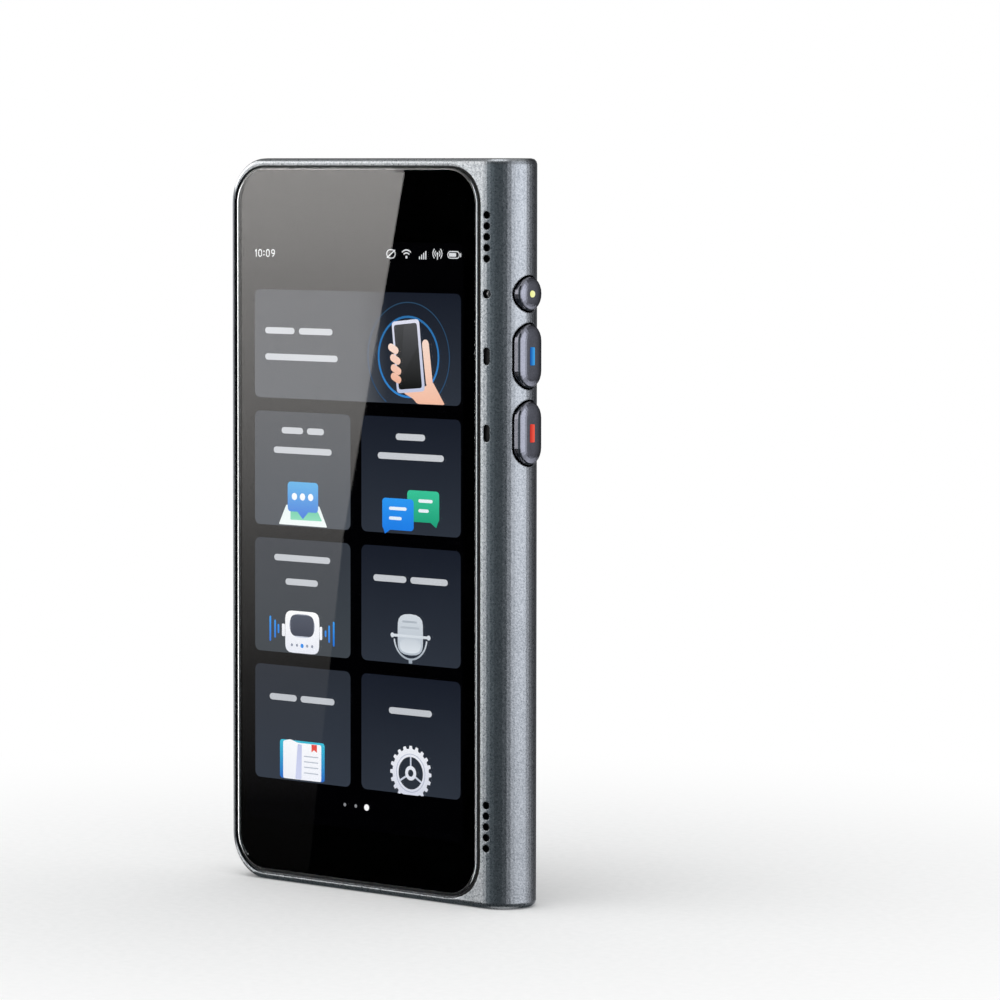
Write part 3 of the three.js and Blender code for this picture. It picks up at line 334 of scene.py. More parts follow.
sweep = {
    "radius": 6000,
    "sides": 96,
    "tones": ("#EFF0F0", "#FAFAFA"),
    "clump": 10 / 7,  # mm across a clump of fibres
    "fade": (45, 180),  # mm from the middle between which the paper turns to plain white for the camera
}
floorPaper, tree = startMaterial("white paper sweep")
place = addNode(tree, "NewGeometry")
grain = addNode(tree, "TexNoise", {"Vector": place, "Scale": 1 / (sweep["clump"] * mm), "Detail": 3})
tone = addNode(tree, "Mix", {
    0: grain, 6: linear(sweep["tones"][0]), 7: linear(sweep["tones"][1])}, data_type="RGBA")
paper = addNode(tree, "BsdfDiffuse", {"Color": tone.outputs[2]})
away = addNode(tree, "VectorMath", {0: place}, operation="LENGTH")
fade = addNode(tree, "MapRange", {
    "Value": away.outputs["Value"], "From Min": sweep["fade"][0] * mm, "From Max": sweep["fade"][1] * mm,
}, interpolation_type="SMOOTHSTEP")
path = addNode(tree, "LightPath")
seen = addNode(tree, "Math", {0: fade, 1: path.outputs["Is Camera Ray"]}, operation="MULTIPLY")
white = addNode(tree, "Emission", {"Color": linear("#FFFFFF"), "Strength": 1})
mixed = addNode(tree, "MixShader", {0: seen, 1: paper, 2: white})
addNode(tree, "OutputMaterial", {"Surface": mixed})
floorRing = disc((0, 0), sweep["radius"], sweep["sides"])
floor = finishMesh("floor", ([(x, y, 0) for x, y in floorRing], [tuple(range(len(floorRing)))]), floorPaper)
floor.visible_glossy = False  # the glass mirrors the cards alone, as on a raised table
floor.visible_transmission = False

world = bpy.data.worlds.new("studio surround")
bpy.context.scene.world = world
world.use_nodes = True
tree = world.node_tree
tree.nodes.clear()
path = addNode(tree, "LightPath")
seen = addNode(tree, "Math", {
    0: path.outputs["Is Camera Ray"], 1: path.outputs["Is Glossy Ray"]}, operation="MAXIMUM")
seen = addNode(tree, "Math", {0: seen, 1: path.outputs["Is Transmission Ray"]}, operation="MAXIMUM")
plain = addNode(tree, "Background", {"Color": linear("#FFFFFF"), "Strength": studio["surround"]})
white = addNode(tree, "Background", {"Color": linear("#FFFFFF"), "Strength": 1})
mixed = addNode(tree, "MixShader", {0: seen, 1: plain, 2: white})
addNode(tree, "OutputWorld", {"Surface": mixed})

softbox = {"across": 0.7, "watts": 3, "place": (-0.15, -0.25, 1.3), "aim": (0, 0, 0.05)}  # metres
lampData = bpy.data.lights.new("top_softbox", "AREA")
lampData.shape = "DISK"
lampData.size = softbox["across"]
lampData.energy = softbox["watts"]
lamp = bpy.data.objects.new("top_softbox", lampData)
lamp.location = softbox["place"]
lamp.rotation_euler = (Vector(softbox["aim"]) - lamp.location).to_track_quat("-Z", "Y").to_euler()
lamp.visible_camera = False
bpy.context.scene.collection.objects.link(lamp)
print("studio built")


# Finishes. Grain is a size in mm and dent is its height in mm. Rough goes with the tones, from low to high.

texture = {
    "cloud": 9,  # mm across broad patches, which shift the tone a little
    "cloudShare": 0.25,
    "highlightReach": 0.25,  # mm from an edge
    "highlightTurn": (0.99, 0.80),  # cosine between the rounded edge and the face, where the painted edge highlight starts and is full
    "highlightShare": 0.7,
    "toneEdge": 0.1,  # mm on each side of the change from one tone to the next
}


def paintedEdgeHighlight(tree, bump, share, colour, edgeHighlight):
    # painted highlight: edges made bright, in the flecks that stand proud
    rounded = addNode(tree, "Bevel", {"Radius": texture["highlightReach"] * mm}, samples=4)
    flat = addNode(tree, "NewGeometry")
    same = addNode(tree, "VectorMath", {0: rounded, 1: flat.outputs["Normal"]}, operation="DOT_PRODUCT")
    edgeLit = addNode(tree, "MapRange", {
        "Value": same.outputs["Value"], "From Min": texture["highlightTurn"][0],
        "From Max": texture["highlightTurn"][1], "To Max": texture["highlightShare"],
    })
    edgeLitFlecks = addNode(tree, "Math", {0: edgeLit, 1: share}, operation="MULTIPLY")
    tone = addNode(tree, "Mix", {0: edgeLitFlecks, 6: colour, 7: linear(edgeHighlight)}, data_type="RGBA")
    tree.links.new(rounded.outputs["Normal"], bump.inputs["Normal"])
    return tone.outputs[2]


def surfaceFinish(name, low, high, grain, dent, rough, metallic=0.0, specular=0.5, ior=1.5, contrast=0.22,
                  edgeHighlight=None, paintedLeftTone=None):
    made, tree = startMaterial(name)
    where = addNode(tree, "TexCoord").outputs["Object"]
    fine = addNode(tree, "TexNoise", {
        "Vector": where, "Scale": 1 / (grain * mm), "Detail": 3, "Roughness": 0.6})
    broad = addNode(tree, "TexNoise", {"Vector": where, "Scale": 1 / (texture["cloud"] * mm), "Detail": 2})
    flecks = addNode(tree, "MapRange", {
        "Value": fine, "From Min": 0.5 - contrast, "From Max": 0.5 + contrast})
    blend = addNode(tree, "Math", {
        0: broad, 1: texture["cloudShare"], 2: -texture["cloudShare"] / 2}, operation="MULTIPLY_ADD")
    share = addNode(tree, "Math", {0: flecks, 1: blend}, operation="ADD", use_clamp=True)
    tone = addNode(tree, "Mix", {0: share, 6: linear(low), 7: linear(high)}, data_type="RGBA")
    colour = tone.outputs[2]
    roughness = addNode(tree, "MapRange", {"Value": flecks, "To Min": rough[0], "To Max": rough[1]})
    bump = addNode(tree, "Bump", {"Height": fine, "Distance": dent * mm})
    if edgeHighlight:
        colour = paintedEdgeHighlight(tree, bump, share, colour, edgeHighlight)
    if paintedLeftTone:
        # a painted tone up to a place along x, as (place in mm, colour): shade along a rim, a highlight along
        # an edge
        place, code = paintedLeftTone
        split = addNode(tree, "SeparateXYZ", {"Vector": where})
        side = addNode(tree, "MapRange", {
            "Value": split.outputs["X"], "From Min": (place - texture["toneEdge"]) * mm,
            "From Max": (place + texture["toneEdge"]) * mm,
        })
        tone = addNode(tree, "Mix", {0: side, 6: linear(code), 7: colour}, data_type="RGBA")
        colour = tone.outputs[2]
    shader = addNode(tree, "BsdfPrincipled", {
        "Base Color": colour, "Metallic": metallic, "Roughness": roughness, "Specular IOR Level": specular,
        "IOR": ior, "Normal": bump,
    })
    addNode(tree, "OutputMaterial", {"Surface": shader})
    return made


# anodised over blasted grit, so small bright flecks in a cool grey, with a painted highlight along the edges.
# The grit is drawn three times as coarse, because it is too fine to show.
blasted = dict(low="#5E6266", high="#9C9FA2", grain=0.26, dent=0.016, rough=(0.25, 0.33), metallic=1.0,
               contrast=0.24, edgeHighlight="#C9CFD4")
surfaces = {
    "blasted anodised aluminium": blasted,
    # the same blasted body, with painted shade: darker along the rim beside the black band
    "anodised aluminium with painted shade on the left rim": {**blasted, "paintedLeftTone": (boxOf("cover_glass")[0].x - 0.2, "#3A3D40")},
    # tumbled and dyed, smoother and cooler than the body
    "satin anodised aluminium": dict(
        low="#5F6067", high="#73747C", grain=0.22, dent=0.0005, rough=(0.08, 0.12), metallic=1.0),
    # moulded with a fine spark texture, so matt with a faint sheen, and a painted highlight along its edges
    "moulded black polycarbonate": dict(
        low="#1F2224", high="#2B2E31", grain=0.18, dent=0.012, rough=(0.42, 0.58), edgeHighlight="#4A4D50",
        specular=0.3),
    # rolled and pressed, so grey with a soft shine
    "stamped stainless steel": dict(
        low="#A9A8A4", high="#C4C3BF", grain=0.12, dent=0.002, rough=(0.22, 0.38), metallic=1.0),
    # cured lacquer over woven glass, so dark green with a low gloss
    "solder mask over fibreglass": dict(
        low="#12301F", high="#1C4A2E", grain=0.5, dent=0.006, rough=(0.3, 0.45)),
    # moulded with short fibres, so almost black and dull
    "glass-filled nylon": dict(low="#17181A", high="#232427", grain=0.25, dent=0.010, rough=(0.45, 0.6)),
    # cast with a fine filler, so white and soft
    "milky acrylic": dict(low="#D9DCDD", high="#F1F2F0", grain=0.8, dent=0.002, rough=(0.2, 0.3)),
    # aluminium foil under nylon, so silver with shallow creases
    "laminated pouch foil": dict(
        low="#B7B9BB", high="#D2D4D5", grain=0.9, dent=0.02, rough=(0.25, 0.4), metallic=0.9),
    # cast film over copper, so amber
    "polyimide film": dict(low="#8A4A12", high="#B06A1E", grain=0.4, dent=0.003, rough=(0.25, 0.35)),
    # screen-printed on the back of glass, so it has no shine of its own
    "black printing ink": dict(
        low="#020203", high="#040405", grain=0.05, dent=0.0005, rough=(0.5, 0.6), specular=0.0),
    # ground and coated, so nearly black with a hard mirror
    "dark optical glass": dict(
        low="#050608", high="#0C0E12", grain=0.6, dent=0.0004, rough=(0.03, 0.06), ior=1.6),
    # turned and dyed, so black, with a painted highlight as its fine bright edge
    "black anodised aluminium": dict(
        low="#0E0F11", high="#1A1B1E", grain=0.15, dent=0.002, rough=(0.22, 0.3), metallic=0.6,
        edgeHighlight="#5A5C60"),
    # painted shade: near black, so that it swallows light
    "black lining of painted shade": dict(
        low="#040405", high="#08090A", grain=0.2, dent=0.004, rough=(0.6, 0.7), specular=0.1),
    # painted shade: dull and nearly black, at the bottom of the gaps round the glass and the panel
    "dark gap shade": dict(
        low="#2B2D2E", high="#36383A", grain=0.2, dent=0.004, rough=(0.6, 0.7), specular=0.15),
    # painted highlight of the glass's rounded edge: pale with a soft shine, and paler on the left
    "glass edge painted highlight": dict(
        low="#74787A", high="#84888A", grain=0.2, dent=0.0005, rough=(0.22, 0.3), metallic=0.85,
        paintedLeftTone=(0, "#B0B2B2")),
    # dyed polyester monofilament behind the sound holes, so dark and without shine
    "woven acoustic cloth": dict(
        low="#050506", high="#131416", grain=0.12, dent=0.02, rough=(0.6, 0.75), specular=0.2),
    # electroplated over nickel, so a warm yellow with a clean shine
    "plated gold": dict(
        low="#D9A441", high="#F0C468", grain=0.3, dent=0.001, rough=(0.18, 0.28), metallic=1.0),
    # ceramic phosphor over the lamp chips, so a dull yellow
    "lamp phosphor": dict(low="#D8C04A", high="#EFDC7A", grain=0.2, dent=0.004, rough=(0.5, 0.6)),
    # punched from printed sheet, so white with a low gloss
    "white card plastic": dict(low="#E4E5E4", high="#F2F2F0", grain=0.5, dent=0.002, rough=(0.35, 0.45)),
}
finishes = {name: surfaceFinish(name, **look) for name, look in surfaces.items()}


def fromAxis(tree, place, axis):
    # the distance from an axis along y, at (x, z) in mm
    offset = addNode(tree, "VectorMath", {0: place, 1: (axis[0] * mm, 0, axis[1] * mm)}, operation="SUBTRACT")
    flat = addNode(tree, "VectorMath", {0: offset, 1: (1, 0, 1)}, operation="MULTIPLY")
    return addNode(tree, "VectorMath", {0: flat}, operation="LENGTH").outputs["Value"]


wiped = {
    "size": 14,  # mm across a smear
    "shows": (0.45, 0.75),  # noise at which a smear starts and is full
    "edge": (0.9999, 0.995),  # cosine to the front at which the etched edge starts and is full
}


def clearGlass(name, tint, ior, smear, rings=None, edge=None):
    # a hard clean mirror on top, with the faintest smears that only dull it in patches
    made, tree = startMaterial(name)
    where = addNode(tree, "TexCoord")
    smears = addNode(tree, "TexNoise", {
        "Vector": where.outputs["Object"], "Scale": 1 / (wiped["size"] * mm), "Detail": 4, "Distortion": 1.2})
    roughness = addNode(tree, "MapRange", {
        "Value": smears, "From Min": wiped["shows"][0], "From Max": wiped["shows"][1],
        "To Min": 0.0, "To Max": smear,
    })
    if edge:
        # the rounded edge is etched, so it is duller than the flat face
        split = addNode(tree, "SeparateXYZ", {"Vector": where.outputs["Normal"]})
        facing = addNode(tree, "Math", {0: split.outputs["Y"]}, operation="ABSOLUTE")
        etched = addNode(tree, "MapRange", {
            "Value": facing, "From Min": wiped["edge"][0], "From Max": wiped["edge"][1], "To Max": edge})
        roughness = addNode(tree, "Math", {0: roughness, 1: etched}, operation="ADD")
    shader = addNode(tree, "BsdfPrincipled", {
        "Base Color": linear(tint), "Roughness": roughness, "IOR": ior, "Transmission Weight": 1.0})
    if rings:
        # moulded ridges round an axis, as (axis x, axis z, pitch, height) in mm
        away = fromAxis(tree, where.outputs["Object"], rings[:2])
        turns = addNode(tree, "Math", {0: away, 1: rings[2] * mm}, operation="DIVIDE")
        ridge = addNode(tree, "Math", {0: turns}, operation="FRACT")
        bump = addNode(tree, "Bump", {"Height": ridge, "Distance": rings[3] * mm})
        tree.links.new(bump.outputs[0], shader.inputs["Normal"])
    addNode(tree, "OutputMaterial", {"Surface": shader})
    return made


flashX, _, flashZ = middleOf("flash_led")
glasses = {
    # float glass, toughened and coated, so its mirror is a little stronger than plain glass
    "hardened cover glass": dict(tint="#FFFFFF", ior=1.7, smear=0.015, edge=0.4),
    # ground and coated on both faces, so clear with a trace of blue
    "coated lens window": dict(tint="#F4F8FF", ior=1.5, smear=0.03),
    # moulded with fine rings, so the lamp behind it is broken up
    "ridged clear polycarbonate": dict(
        tint="#F6F7F4", ior=1.58, smear=0.08, rings=(flashX, flashZ, 0.3, 0.05)),
}
finishes.update({name: clearGlass(name, **look) for name, look in glasses.items()})


backlight = {"patch": 7, "uneven": 0.05}  # mm across a brighter or darker patch, and by what share it differs


def litPixels(name, top, bottom, high, low, strength=1.0, axis="Z", aside=None):
    # light shaded along an axis of the piece, with the slight unevenness of a backlight
    made, tree = startMaterial(name)
    where = addNode(tree, "TexCoord").outputs["Object"]
    split = addNode(tree, "SeparateXYZ", {"Vector": where})
    share = addNode(tree, "MapRange", {
        "Value": split.outputs[axis], "From Min": low * mm, "From Max": high * mm,
    })
    tone = addNode(tree, "Mix", {0: share, 6: linear(bottom), 7: linear(top)}, data_type="RGBA")
    colour = tone.outputs[2]
    if aside:
        # painted reflection: other colours towards the left, as (where they start along x, where they are
        # full, top, bottom)
        across = addNode(tree, "MapRange", {
            "Value": split.outputs["X"], "From Min": aside[0] * mm, "From Max": aside[1] * mm})
        other = addNode(tree, "Mix", {
            0: share, 6: linear(aside[3]), 7: linear(aside[2])}, data_type="RGBA")
        colour = addNode(tree, "Mix", {
            0: across, 6: colour, 7: other.outputs[2]}, data_type="RGBA").outputs[2]
    uneven = addNode(tree, "TexNoise", {"Vector": where, "Scale": 1 / (backlight["patch"] * mm), "Detail": 1})
    gain = addNode(tree, "MapRange", {
        "Value": uneven, "To Min": strength * (1 - backlight["uneven"]),
        "To Max": strength * (1 + backlight["uneven"]),
    })
    shader = addNode(tree, "BsdfPrincipled", {
        "Base Color": linear("#020203"), "Roughness": 0.5, "Specular IOR Level": 0.0,
        "Emission Color": colour, "Emission Strength": gain,
    })
    addNode(tree, "OutputMaterial", {"Surface": shader})
    return made


finishes["unlit display pixels"] = litPixels("unlit display pixels", "#020203", "#010102", high=110, low=5)
# moulded diffusers, with painted shade: darker towards low y, as from the edge of their recess
pipes = {"power_light": ("yellow", "#FBFDBE", "#F1F49C"), "blue_light": ("blue", "#43A9EE", "#1F5FAE"),
         "red_light": ("red", "#F6614F", "#C9382F")}
for name, (hue, litEnd, shadedEnd) in pipes.items():
    low, high = boxOf(name)
    finishes[f"{hue} light pipe"] = litPixels(f"{hue} light pipe", litEnd, shadedEnd, high.y, low.y, axis="Y")

nodeFinish = {
    "blasted anodised aluminium": ["back_cover"],
    "anodised aluminium with painted shade on the left rim": ["main_frame"],
    "satin anodised aluminium": ["power_button", "blue_button", "red_button"],
    "moulded black polycarbonate": [
        "side_band", "band_corner_top", "band_corner_bottom", "volume_rocker", "sim_tray"],
    "hardened cover glass": ["cover_glass"],
    "coated lens window": ["camera_window"],
    "black anodised aluminium": ["camera_ring"],
    "dark optical glass": ["light_sensor", "camera_module"],
    "unlit display pixels": ["display_cell"],
    "woven acoustic cloth": [
        "upper_speaker_mesh", "main_speaker_mesh", "upper_microphone", "lower_microphone"],
    "stamped stainless steel": [
        "midframe", "processor_shield", "radio_shield", "usb_c_shell", "sim_socket", "key_bracket",
        "volume_bracket", "volume_up_switch", "volume_down_switch", "power_switch", "blue_switch",
        "red_switch", "vibration_motor",
    ] + [name for name in nodes if "_screw_" in name],
    "solder mask over fibreglass": ["main_board", "sub_board", "key_board"],
    "glass-filled nylon": ["processor", "upper_speaker", "main_speaker", "antenna_block", "usb_c_contacts"],
    "milky acrylic": ["backlight"],
    "ridged clear polycarbonate": ["flash_lens"],
    "lamp phosphor": ["flash_led"],
    "white card plastic": ["sim_card"],
    "laminated pouch foil": ["battery"],
    "polyimide film": ["battery_flex", "main_flex", "display_flex"],
    **{f"{hue} light pipe": [name] for name, (hue, _, _) in pipes.items()},
}
for node in nodes.values():
    node.data.shade_smooth()
    node.data.set_sharp_from_angle(angle=math.radians(32))
    rounding = node.modifiers.new("weighted normals", "WEIGHTED_NORMAL")
    rounding.keep_sharp = True
undressed = set(nodes)
for finish, names in nodeFinish.items():
    for name in names:
        nodes[name].material_slots[0].material = finishes[finish]
        undressed.discard(name)
print("finishes set, left over:", sorted(undressed))

# Screen: flat lit layers between the display cell and the cover glass, as seen through the glass.
# Places are in mm from the left edge of the body and up from its bottom end.

screen = {
    "bent": -0.4,  # what the glass bends the picture aside
    "layer": 0.008,
    "thickness": 0.0064,
    "window": (3.2, 9.6, 48.4, 100.2, 1.0),  # left, bottom, right, top and corner radius
    "gain": 1.12,
}
glassLow, glassHigh = boxOf("cover_glass")
cellFront = boxOf("display_cell")[0].y
screenShift = boxOf("main_frame")[0].x + screen["bent"]


def onScreen(outline):
    return [(x + screenShift, z) for x, z in outline]


def lit(name, layer, top, bottom, *islands, gain=1.0, aside=None):
    # an island is one outline, or a list of an outline and its holes
    islands = [island if isinstance(island[0], list) else [island] for island in islands]
    levels = [z for island in islands for outline in island for _, z in outline]
    glow = litPixels(name.replace("_", " ") + " pixels", top, bottom, max(levels), min(levels),
                     screen["gain"] * gain, aside=aside)
    shape = plates([[onScreen(outline) for outline in island] for island in islands],
                   cellFront - screen["layer"] * (layer + 1), screen["thickness"])
    finishMesh(name, shape, glow, "display_panel")


tiles = {
    "wide": (5.08, 75.7, 47.88, 92.6),
    "bubble": (5.08, 55.8, 25.33, 73.6), "chat": (27.63, 55.8, 47.88, 73.6),
    "speaker": (5.08, 35.95, 25.33, 53.75), "microphone": (27.63, 35.95, 47.88, 53.75),
    "book": (5.08, 16.0, 25.33, 33.9), "gear": (27.63, 16.0, 47.88, 33.9),
}
# Painted reflection of glare on the glass: some tiles get lighter towards the left, between two places: their
# colours there, as (top, bottom)
paintedGlare = {
    "places": (33, 27), "wide": ("#41454C", "#565A60"), "bubble": ("#3E434A", "#4B5159"),
    "speaker": ("#363B43", "#3F454B"), "book": ("#2C313A", "#343B46"),
}
for name, (left, low, right, high) in tiles.items():
    aside = None
    if name in paintedGlare:
        aside = (*[place + screenShift for place in paintedGlare["places"]], *paintedGlare[name])
    lit(f"tile_{name}", 0, "#1A1F2A", "#2E343E", roundedBox(left, low, right, high, 1.0), aside=aside)
print("tiles laid")

# Labels, as plain bars: left, right and middle height
labels = {
    "height": 1.0,
    "bars": [
        (7.3, 13.6, 86.2), (14.5, 21.6, 86.2), (7.3, 22.7, 82.1), (10.8, 15.4, 70.7), (16.2, 19.8, 70.7),
        (9.1, 21.4, 67.6), (34.7, 40.7, 70.6), (31.0, 44.5, 67.6), (9.2, 21.1, 50.8), (11.6, 18.5, 47.1),
        (30.1, 36.9, 48.8), (37.7, 45.3, 48.8), (8.2, 14.0, 28.9), (14.8, 22.0, 28.9), (33.3, 42.1, 28.6),
    ],
}
inset = labels["height"] / 2
lit("tile_labels", 1, "#CDD0D5", "#C2C6CC", *[
    bar((left + inset, level), (right - inset, level), labels["height"])
    for left, right, level in labels["bars"]])

# Clock digits and status signs at the top of the screen. A digit is given by its left edge.
clock = {
    "bottom": 97.63, "top": 98.85, "stroke": 0.17, "width": 0.8,
    "zero": (5.85, 7.5), "one": 5.42, "nine": 8.62, "colon": 7.08,
}
bottom, top, stroke = clock["bottom"], clock["top"], clock["stroke"]
middle = (bottom + top) / 2


def ringOf(left, low, right, high, stroke):
    nearHalf = 2.05
    radius = min(right - left, high - low) / nearHalf
    return [roundedBox(left, low, right, high, radius),
            roundedBox(left + stroke, low + stroke, right - stroke, high - stroke, radius - stroke)]


digits = [ringOf(left, bottom, left + clock["width"], top, stroke) for left in clock["zero"]]
one, nine = clock["one"], clock["nine"]
digits.append(bar((one, bottom + 0.08), (one, top - 0.08), stroke))
digits.append(bar((one - 0.2, top - 0.3), (one, top - 0.1), stroke))
digits += [disc((clock["colon"], middle + shift), 0.13, 12) for shift in (0.28, -0.28)]
digits.append(ringOf(nine, middle - 0.14, nine + clock["width"], top, stroke))
digits.append(arc((nine + 0.1, middle + 0.12), 0.62, stroke, -80, -12, 8))
lit("clock_digits", 1, "#F2F3F4", "#E9EAEC", *digits)

signLow, signHigh, signMiddle = 97.68, 99.15, 98.4
signals = [
    ringOf(32.78, signLow + 0.05, 34.66, signHigh, 0.17),
    arc((36.89, signLow + 0.15), 1.25, 0.2, 45, 135, 10), arc((36.89, signLow + 0.15), 0.8, 0.2, 45, 135, 10),
    disc((36.89, signLow + 0.3), 0.22, 12),
    *[bar((39.55 + index * 0.42, signLow + 0.1), (39.55 + index * 0.42, signLow + 0.35 + index * 0.28), 0.22)
      for index in range(4)],
    bar((43.16, signLow + 0.1), (43.16, signMiddle + 0.1), 0.2), disc((43.16, signMiddle + 0.2), 0.2, 12),
    *[arc((43.16, signMiddle + 0.2), radius, 0.16, start, start + 100, 10)
      for radius in (0.52, 0.92) for start in (-50, 130)],
    ringOf(45.16, signLow + 0.2, 47.62, signHigh - 0.12, 0.15), bar((47.82, 98.2), (47.82, 98.65), 0.2),
    roundedBox(45.48, signLow + 0.5, 46.9, signHigh - 0.42, 0.1),
]
lit("status_signs", 1, "#E2E4E6", "#D5D8DB", *signals)
lit("record_sign_slash", 2, "#E2E4E6", "#D5D8DB", bar((32.95, signLow + 0.2), (34.5, signHigh - 0.15), 0.2))

# Wide tile: rings round a slanted slab that stands in a peach cradle
ringMiddle = (37.29, 82.83)
lit("outer_ring", 1, "#2B4862", "#2E5278", arc(ringMiddle, 8.3, 0.17, -57, 237, 60))
lit("inner_ring", 1, "#2F6FA8", "#3585D0", arc(ringMiddle, 6.1, 0.34, 0, 359.9, 60))
slab = [(33.86, 88.1), (39.43, 88.67), (40.69, 77.71), (35.0, 77.2)]
slabGlass = [(34.3, 87.6), (38.98, 88.08), (40.1, 78.18), (35.38, 77.78)]
lit("cradle_back", 2, "#FCE0D0", "#F5BFA5",
    bar((40.75, 84.9), (41.55, 79.0), 1.35),
    softened([(36.3, 77.3), (38.29, 76.48), (39.08, 75.75), (44.7, 75.75), (42.2, 79.2), (40.4, 78.3)], 0.4))
lit("slab_frame", 3, "#E2E4F4", "#C3C9E2", softened(slab, 0.7))
lit("slab_glass", 4, "#4B4C4E", "#161716", softened(slabGlass, 0.45))
lit("slab_glint", 5, "#5C5D60", "#2A2B2C",
    softened([(36.4, 87.7), (38.9, 88.0), (39.3, 84.6), (35.6, 79.2)], 0.3), gain=0.8)
lit("cradle_front", 6, "#FDE3D5", "#F3B79B", *[
    bar((x - 0.55, z + 0.28), (x + 0.45, z - 0.22), 1.15) for x, z in
    ((34.3, 83.95), (34.7, 82.35), (34.85, 80.8), (34.85, 79.5))])

# First row: a blue bubble over a folded sheet, and a blue and a green bubble
lit("sheet", 1, "#EAF6F4", "#F4FBFA",
    softened([(10.2, 56.0), (20.45, 55.95), (18.8, 59.15), (11.8, 59.1)], 0.2))
lit("sheet_field", 2, "#6FCBA8", "#8ADBBB",
    softened([(12.7, 58.4), (12.7, 56.8), (19.4, 56.85), (18.5, 58.3)], 0.15))
lit("place_bubble", 3, "#5CB2E8", "#3F79DA",
    roundedBox(12.12, 58.1, 18.57, 62.75, 0.6), softened([(14.0, 58.3), (15.34, 56.98), (16.7, 58.3)], 0.15))
lit("place_bubble_dots", 4, "#FFFFFF", "#F2F8FF", *[disc((x, 60.45), 0.56, 20) for x in (13.56, 15.28, 17.0)])
lit("green_bubble", 1, "#3CC79B", "#21A07A",
    roundedBox(37.07, 57.75, 43.55, 62.55, 0.6), softened([(41.6, 57.9), (42.95, 57.0), (43.5, 58.4)], 0.12))
lit("blue_bubble", 2, "#2F9AF6", "#1F7AE6",
    roundedBox(31.95, 56.3, 38.38, 61.15, 0.6), softened([(32.0, 56.9), (32.5, 55.65), (33.9, 56.5)], 0.12))
lit("bubble_lines", 3, "#F4FAFF", "#E6F3FF",
    bar((33.6, 59.6), (36.7, 59.6), 0.5), bar((33.6, 58.1), (35.7, 58.1), 0.5),
    bar((39.6, 61.0), (42.0, 61.0), 0.5), bar((39.6, 59.5), (41.2, 59.5), 0.5))

# Second row: a small white speaker with blue waves, and a silver microphone
lit("speaker_body", 1, "#FFFFFF", "#E9ECF6",
    softened([(11.6, 36.05), (11.55, 38.6), (11.55, 42.6), (18.8, 42.6), (18.8, 38.6), (18.7, 36.05)], 1.4),
    roundedBox(10.85, 38.5, 11.5, 40.45, 0.2), roundedBox(18.85, 38.4, 19.4, 40.45, 0.2))
lit("speaker_screen_rim", 2, "#8E94A4", "#C9CEDC", ringOf(12.45, 38.5, 17.85, 42.15, 0.2))
lit("speaker_screen", 3, "#4B5160", "#3E4352", roundedBox(12.65, 38.7, 17.65, 42.0, 1.0))
lit("speaker_lamps", 2, "#9097A8", "#9097A8", *[
    disc((x, 37.25), 0.24, 12) for x in (12.98, 14.06, 16.22, 17.29)])
lit("speaker_lamp_lit", 2, "#2E8DE8", "#2E8DE8", disc((15.14, 37.22), 0.34, 16))
lit("speaker_waves", 1, "#2F9AF0", "#2A76DC", *[
    bar((x, low + 0.15), (x, high - 0.15), 0.36) for x, low, high in (
        (8.35, 37.6, 41.5), (9.37, 38.15, 40.95), (10.1, 38.9, 40.3),
        (20.12, 38.95, 39.95), (20.87, 38.1, 40.75), (21.83, 37.6, 41.4))])
lit("microphone_head", 1, "#D3DAE1", "#B4BEC9",
    softened([(35.2, 37.3), (35.1, 40.4), (35.2, 43.6), (40.2, 43.6), (40.3, 40.4), (40.2, 37.3)], 2.35))
lit("microphone_shade", 2, "#AAB3BD", "#DDE4EB",
    softened([(35.6, 37.6), (35.5, 39.8), (39.9, 39.8), (39.8, 37.6)], 2.0),
    bar((36.2, 42.4), (38.9, 42.4), 0.3), bar((35.9, 41.5), (39.4, 41.5), 0.3))
lit("microphone_stand", 3, "#D9E0E7", "#9DA8B4",
    bar((34.1, 40.2), (41.4, 40.2), 0.42), disc((34.05, 40.2), 0.38, 14), disc((41.45, 40.2), 0.38, 14),
    arc((37.74, 40.0), 3.32, 0.28, 186, 354, 30), roundedBox(37.4, 36.05, 38.1, 36.75, 0.1))

# Third row: an open book with a red mark, and a gear
lit("book_cover", 1, "#3FBFD8", "#2C6BC8", roundedBox(10.4, 16.25, 19.9, 22.32, 0.5))
lit("book_pages", 2, "#FBFCFF", "#F1F4FC", softened(
    [(11.1, 16.25), (11.1, 22.1), (12.6, 22.45), (14.2, 22.0), (19.2, 22.0), (19.2, 16.25)], 0.35))
lit("book_fold", 3, "#C5CBEB", "#CFD5F0",
    softened([(13.7, 16.3), (14.2, 21.8), (15.1, 21.8), (15.0, 16.3)], 0.2))
lit("book_lines", 3, "#B4BCC9", "#B4BCC9", *[
    bar((15.6, z), (18.5, z), 0.16) for z in (20.0, 19.15, 18.3, 17.4)])
lit("book_mark", 3, "#E0453E", "#EE5A4C",
    [(17.14, 21.95), (17.14, 20.75), (17.71, 21.1), (18.29, 20.75), (18.29, 21.95)])
gear = {
    "middle": (37.8, 19.25), "teeth": 20, "tip": 4.2, "root": 3.72, "foot": 15.9, "groove": (2.98, 2.86),
    "hole": 2.5, "hub": 1.12, "bore": 0.55, "spoke": (1.0, 2.55), "spokeWidth": 0.3,
}
gearX, gearZ = gear["middle"]
teeth = []
for index in range(gear["teeth"]):
    for turn, radius in ((-0.30, "root"), (-0.19, "tip"), (0.19, "tip"), (0.30, "root")):
        angle = 2 * math.pi * (index + turn) / gear["teeth"] + math.pi / 2
        teeth.append((gearX + gear[radius] * math.cos(angle),
                      max(gearZ + gear[radius] * math.sin(angle), gear["foot"])))
lit("gear_rim", 1, "#F0F2F8", "#D6DAE8", [teeth, disc(gear["middle"], gear["hole"], 40)])
